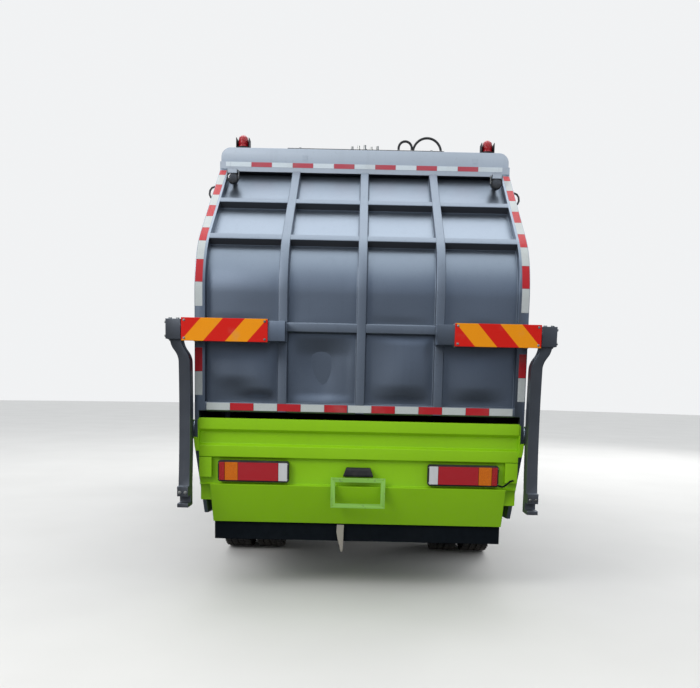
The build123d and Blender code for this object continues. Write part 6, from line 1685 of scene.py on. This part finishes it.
for k in range(60):
    for m in range(3):
        faces.append(skirt.faces.new((front[k][m], front[k + 1][m], front[k + 1][m + 1], front[k][m + 1])))
        faces.append(skirt.faces.new((back[k][m], back[k][m + 1], back[k + 1][m + 1], back[k + 1][m])))
    faces.append(skirt.faces.new((front[k][0], back[k][0], back[k + 1][0], front[k + 1][0])))
    faces.append(skirt.faces.new((front[k][3], front[k + 1][3], back[k + 1][3], back[k][3])))
for k, m in product((0, 60), range(3)):
    faces.append(skirt.faces.new((front[k][m], front[k][m + 1], back[k][m + 1], back[k][m])))
finished_faces(skirt, faces)
piece_from("belt_skirt", skirt, [belt], "bucket_tray", "rubber", ("bucket_skirt",), ease=0.002, steps=1)


# Tail lamps: a black moulded case each side in the bucket's recess, with four lens fields: dark red, amber, a
# long red and white. A plated screw holds each corner of its cover.
white_tones = ((0.5, 0.51, 0.52), (0.66, 0.67, 0.68))
white_lens = lens("white_lens", lambda f: f.waves(38.0), *white_tones, 0.08, depth=0.001)
dark_tones = ((0.28, 0.008, 0.01), (0.4, 0.02, 0.022))
dark_red = lens("dark_red_lens", lambda f: f.cells(130.0), *dark_tones, 0.1, **coloured)
eased("tail_lamp_cases", "tail_lamps", [plastic], "bucket_tray", "lens")
fields = bmesh.new()
lamp_x = 0.717
for side in both:
    start = lamp_x + 0.2335
    for width, index in ((0.039, 1), (0.09, 2), (0.276, 0), (0.062, 3)):
        bar(fields, side * (start - width / 2), width / 2 - 0.0012, (-3.6815, 0.8115), (-3.673, 0.9345), index)
        start -= width
    for x, z in product((lamp_x - 0.236, lamp_x + 0.2375), (0.82, 0.926)):
        screw = [(0.0, 0.004), (0.002, 0.004), (0.003, 0.0)]
        knob(fields, screw, (side * x, -3.675, z), (0, -1, 0), 10, index=4)
lens_paints = [red_lens, dark_red, amber, white_lens, zinc]
piece_from("tail_lamp_lenses", fields, lens_paints, "bucket_tray", "lens", ease=0.0035, steps=3)


# Plate frame and its lamp: a frame of green flat bar with welded corners, bolted to the bucket and left empty.
# A black hooded lamp over it lights the plate.
frame_green = painted("frame_green", (0.24, 0.53, 0.07), roughness=0.34, coat=0.3, dust=0.1, chips=0.3)
eased("plate_bars", "plate_frame", [frame_green], "bucket_tray", "green_paint", ease=0.003)
eased("plate_lamp_hood", "plate_lamp", [plastic], "bucket_tray", "black_plastic", ease=0.006, steps=3)


# Tailgate lift cylinders: a painted steel barrel each side with a screwed gland and two oil ports, and a
# chromed rod in it. Both end in eyes on pins, and a steel oil pipe joins the two ports.
lift_foot = Vector((0.0, -1.335, 1.75))
lift_way = (Vector((0.0, -2.885, 2.55)) - lift_foot).normalized()
lift_up = Vector((1, 0, 0)).cross(lift_way)
rod_chrome = Finish("rod_chrome")
draw_marks = rod_chrome.grain(40.0, 3.0, stretch=(30, 1, 1))
oil_film = rod_chrome.rise(rod_chrome.grain(6.0, 4.0), 0.45, 0.75)
rod_tone = rod_chrome.mix(oil_film * 0.3, (0.62, 0.63, 0.65), (0.4, 0.37, 0.32))
rod_chrome.cover(rod_tone, metallic=1.0, roughness=0.1 + 0.12 * oil_film + 0.05 * draw_marks)
barrel_paints = [slate, slate_edge_wear_and_highlight]
eased(
    "lift_barrel_bodies", "lift_barrels", barrel_paints, "lift_barrel_pair", "slate_paint", ease=0.0025, edge=1
)
eased("lift_rod_bodies", "lift_rods", [rod_chrome], "lift_rod_pair", "rod", ease=0.002, steps=1)
glands = bmesh.new()
gland = [
    (-0.03, 0.045), (-0.03, 0.049), (-0.004, 0.049), (0.0, 0.045), (0.008, 0.041), (0.01, 0.029),
    (0.004, 0.027), (-0.002, 0.027), (-0.002, 0.043),
]
port_hex = [(0.0, 0.015), (0.008, 0.015), (0.009, 0.011), (0.02, 0.011), (0.021, 0.0)]
port_nut = [(0.02, 0.0085), (0.03, 0.0085), (0.031, 0.0)]
for side in both:
    foot = lift_foot + Vector((side * 1.177, 0, 0))
    turned(glands, gland, foot + lift_way * 1.01, lift_way, 32, closed=True)
    for along in (0.09, 0.94):
        port = foot + lift_way * along + lift_up * 0.042
        knob(glands, port_hex, port, lift_up, 6)
        knob(glands, port_nut, port, lift_up, 12)
    pipe = ((0.09, 0.065), (0.13, 0.079), (0.89, 0.079), (0.94, 0.065))
    tube(glands, [foot + lift_way * along + lift_up * up for along, up in pipe], 0.006, 10)
piece_from("lift_glands", glands, [zinc], "lift_barrel_pair", "cast", sharp=32)
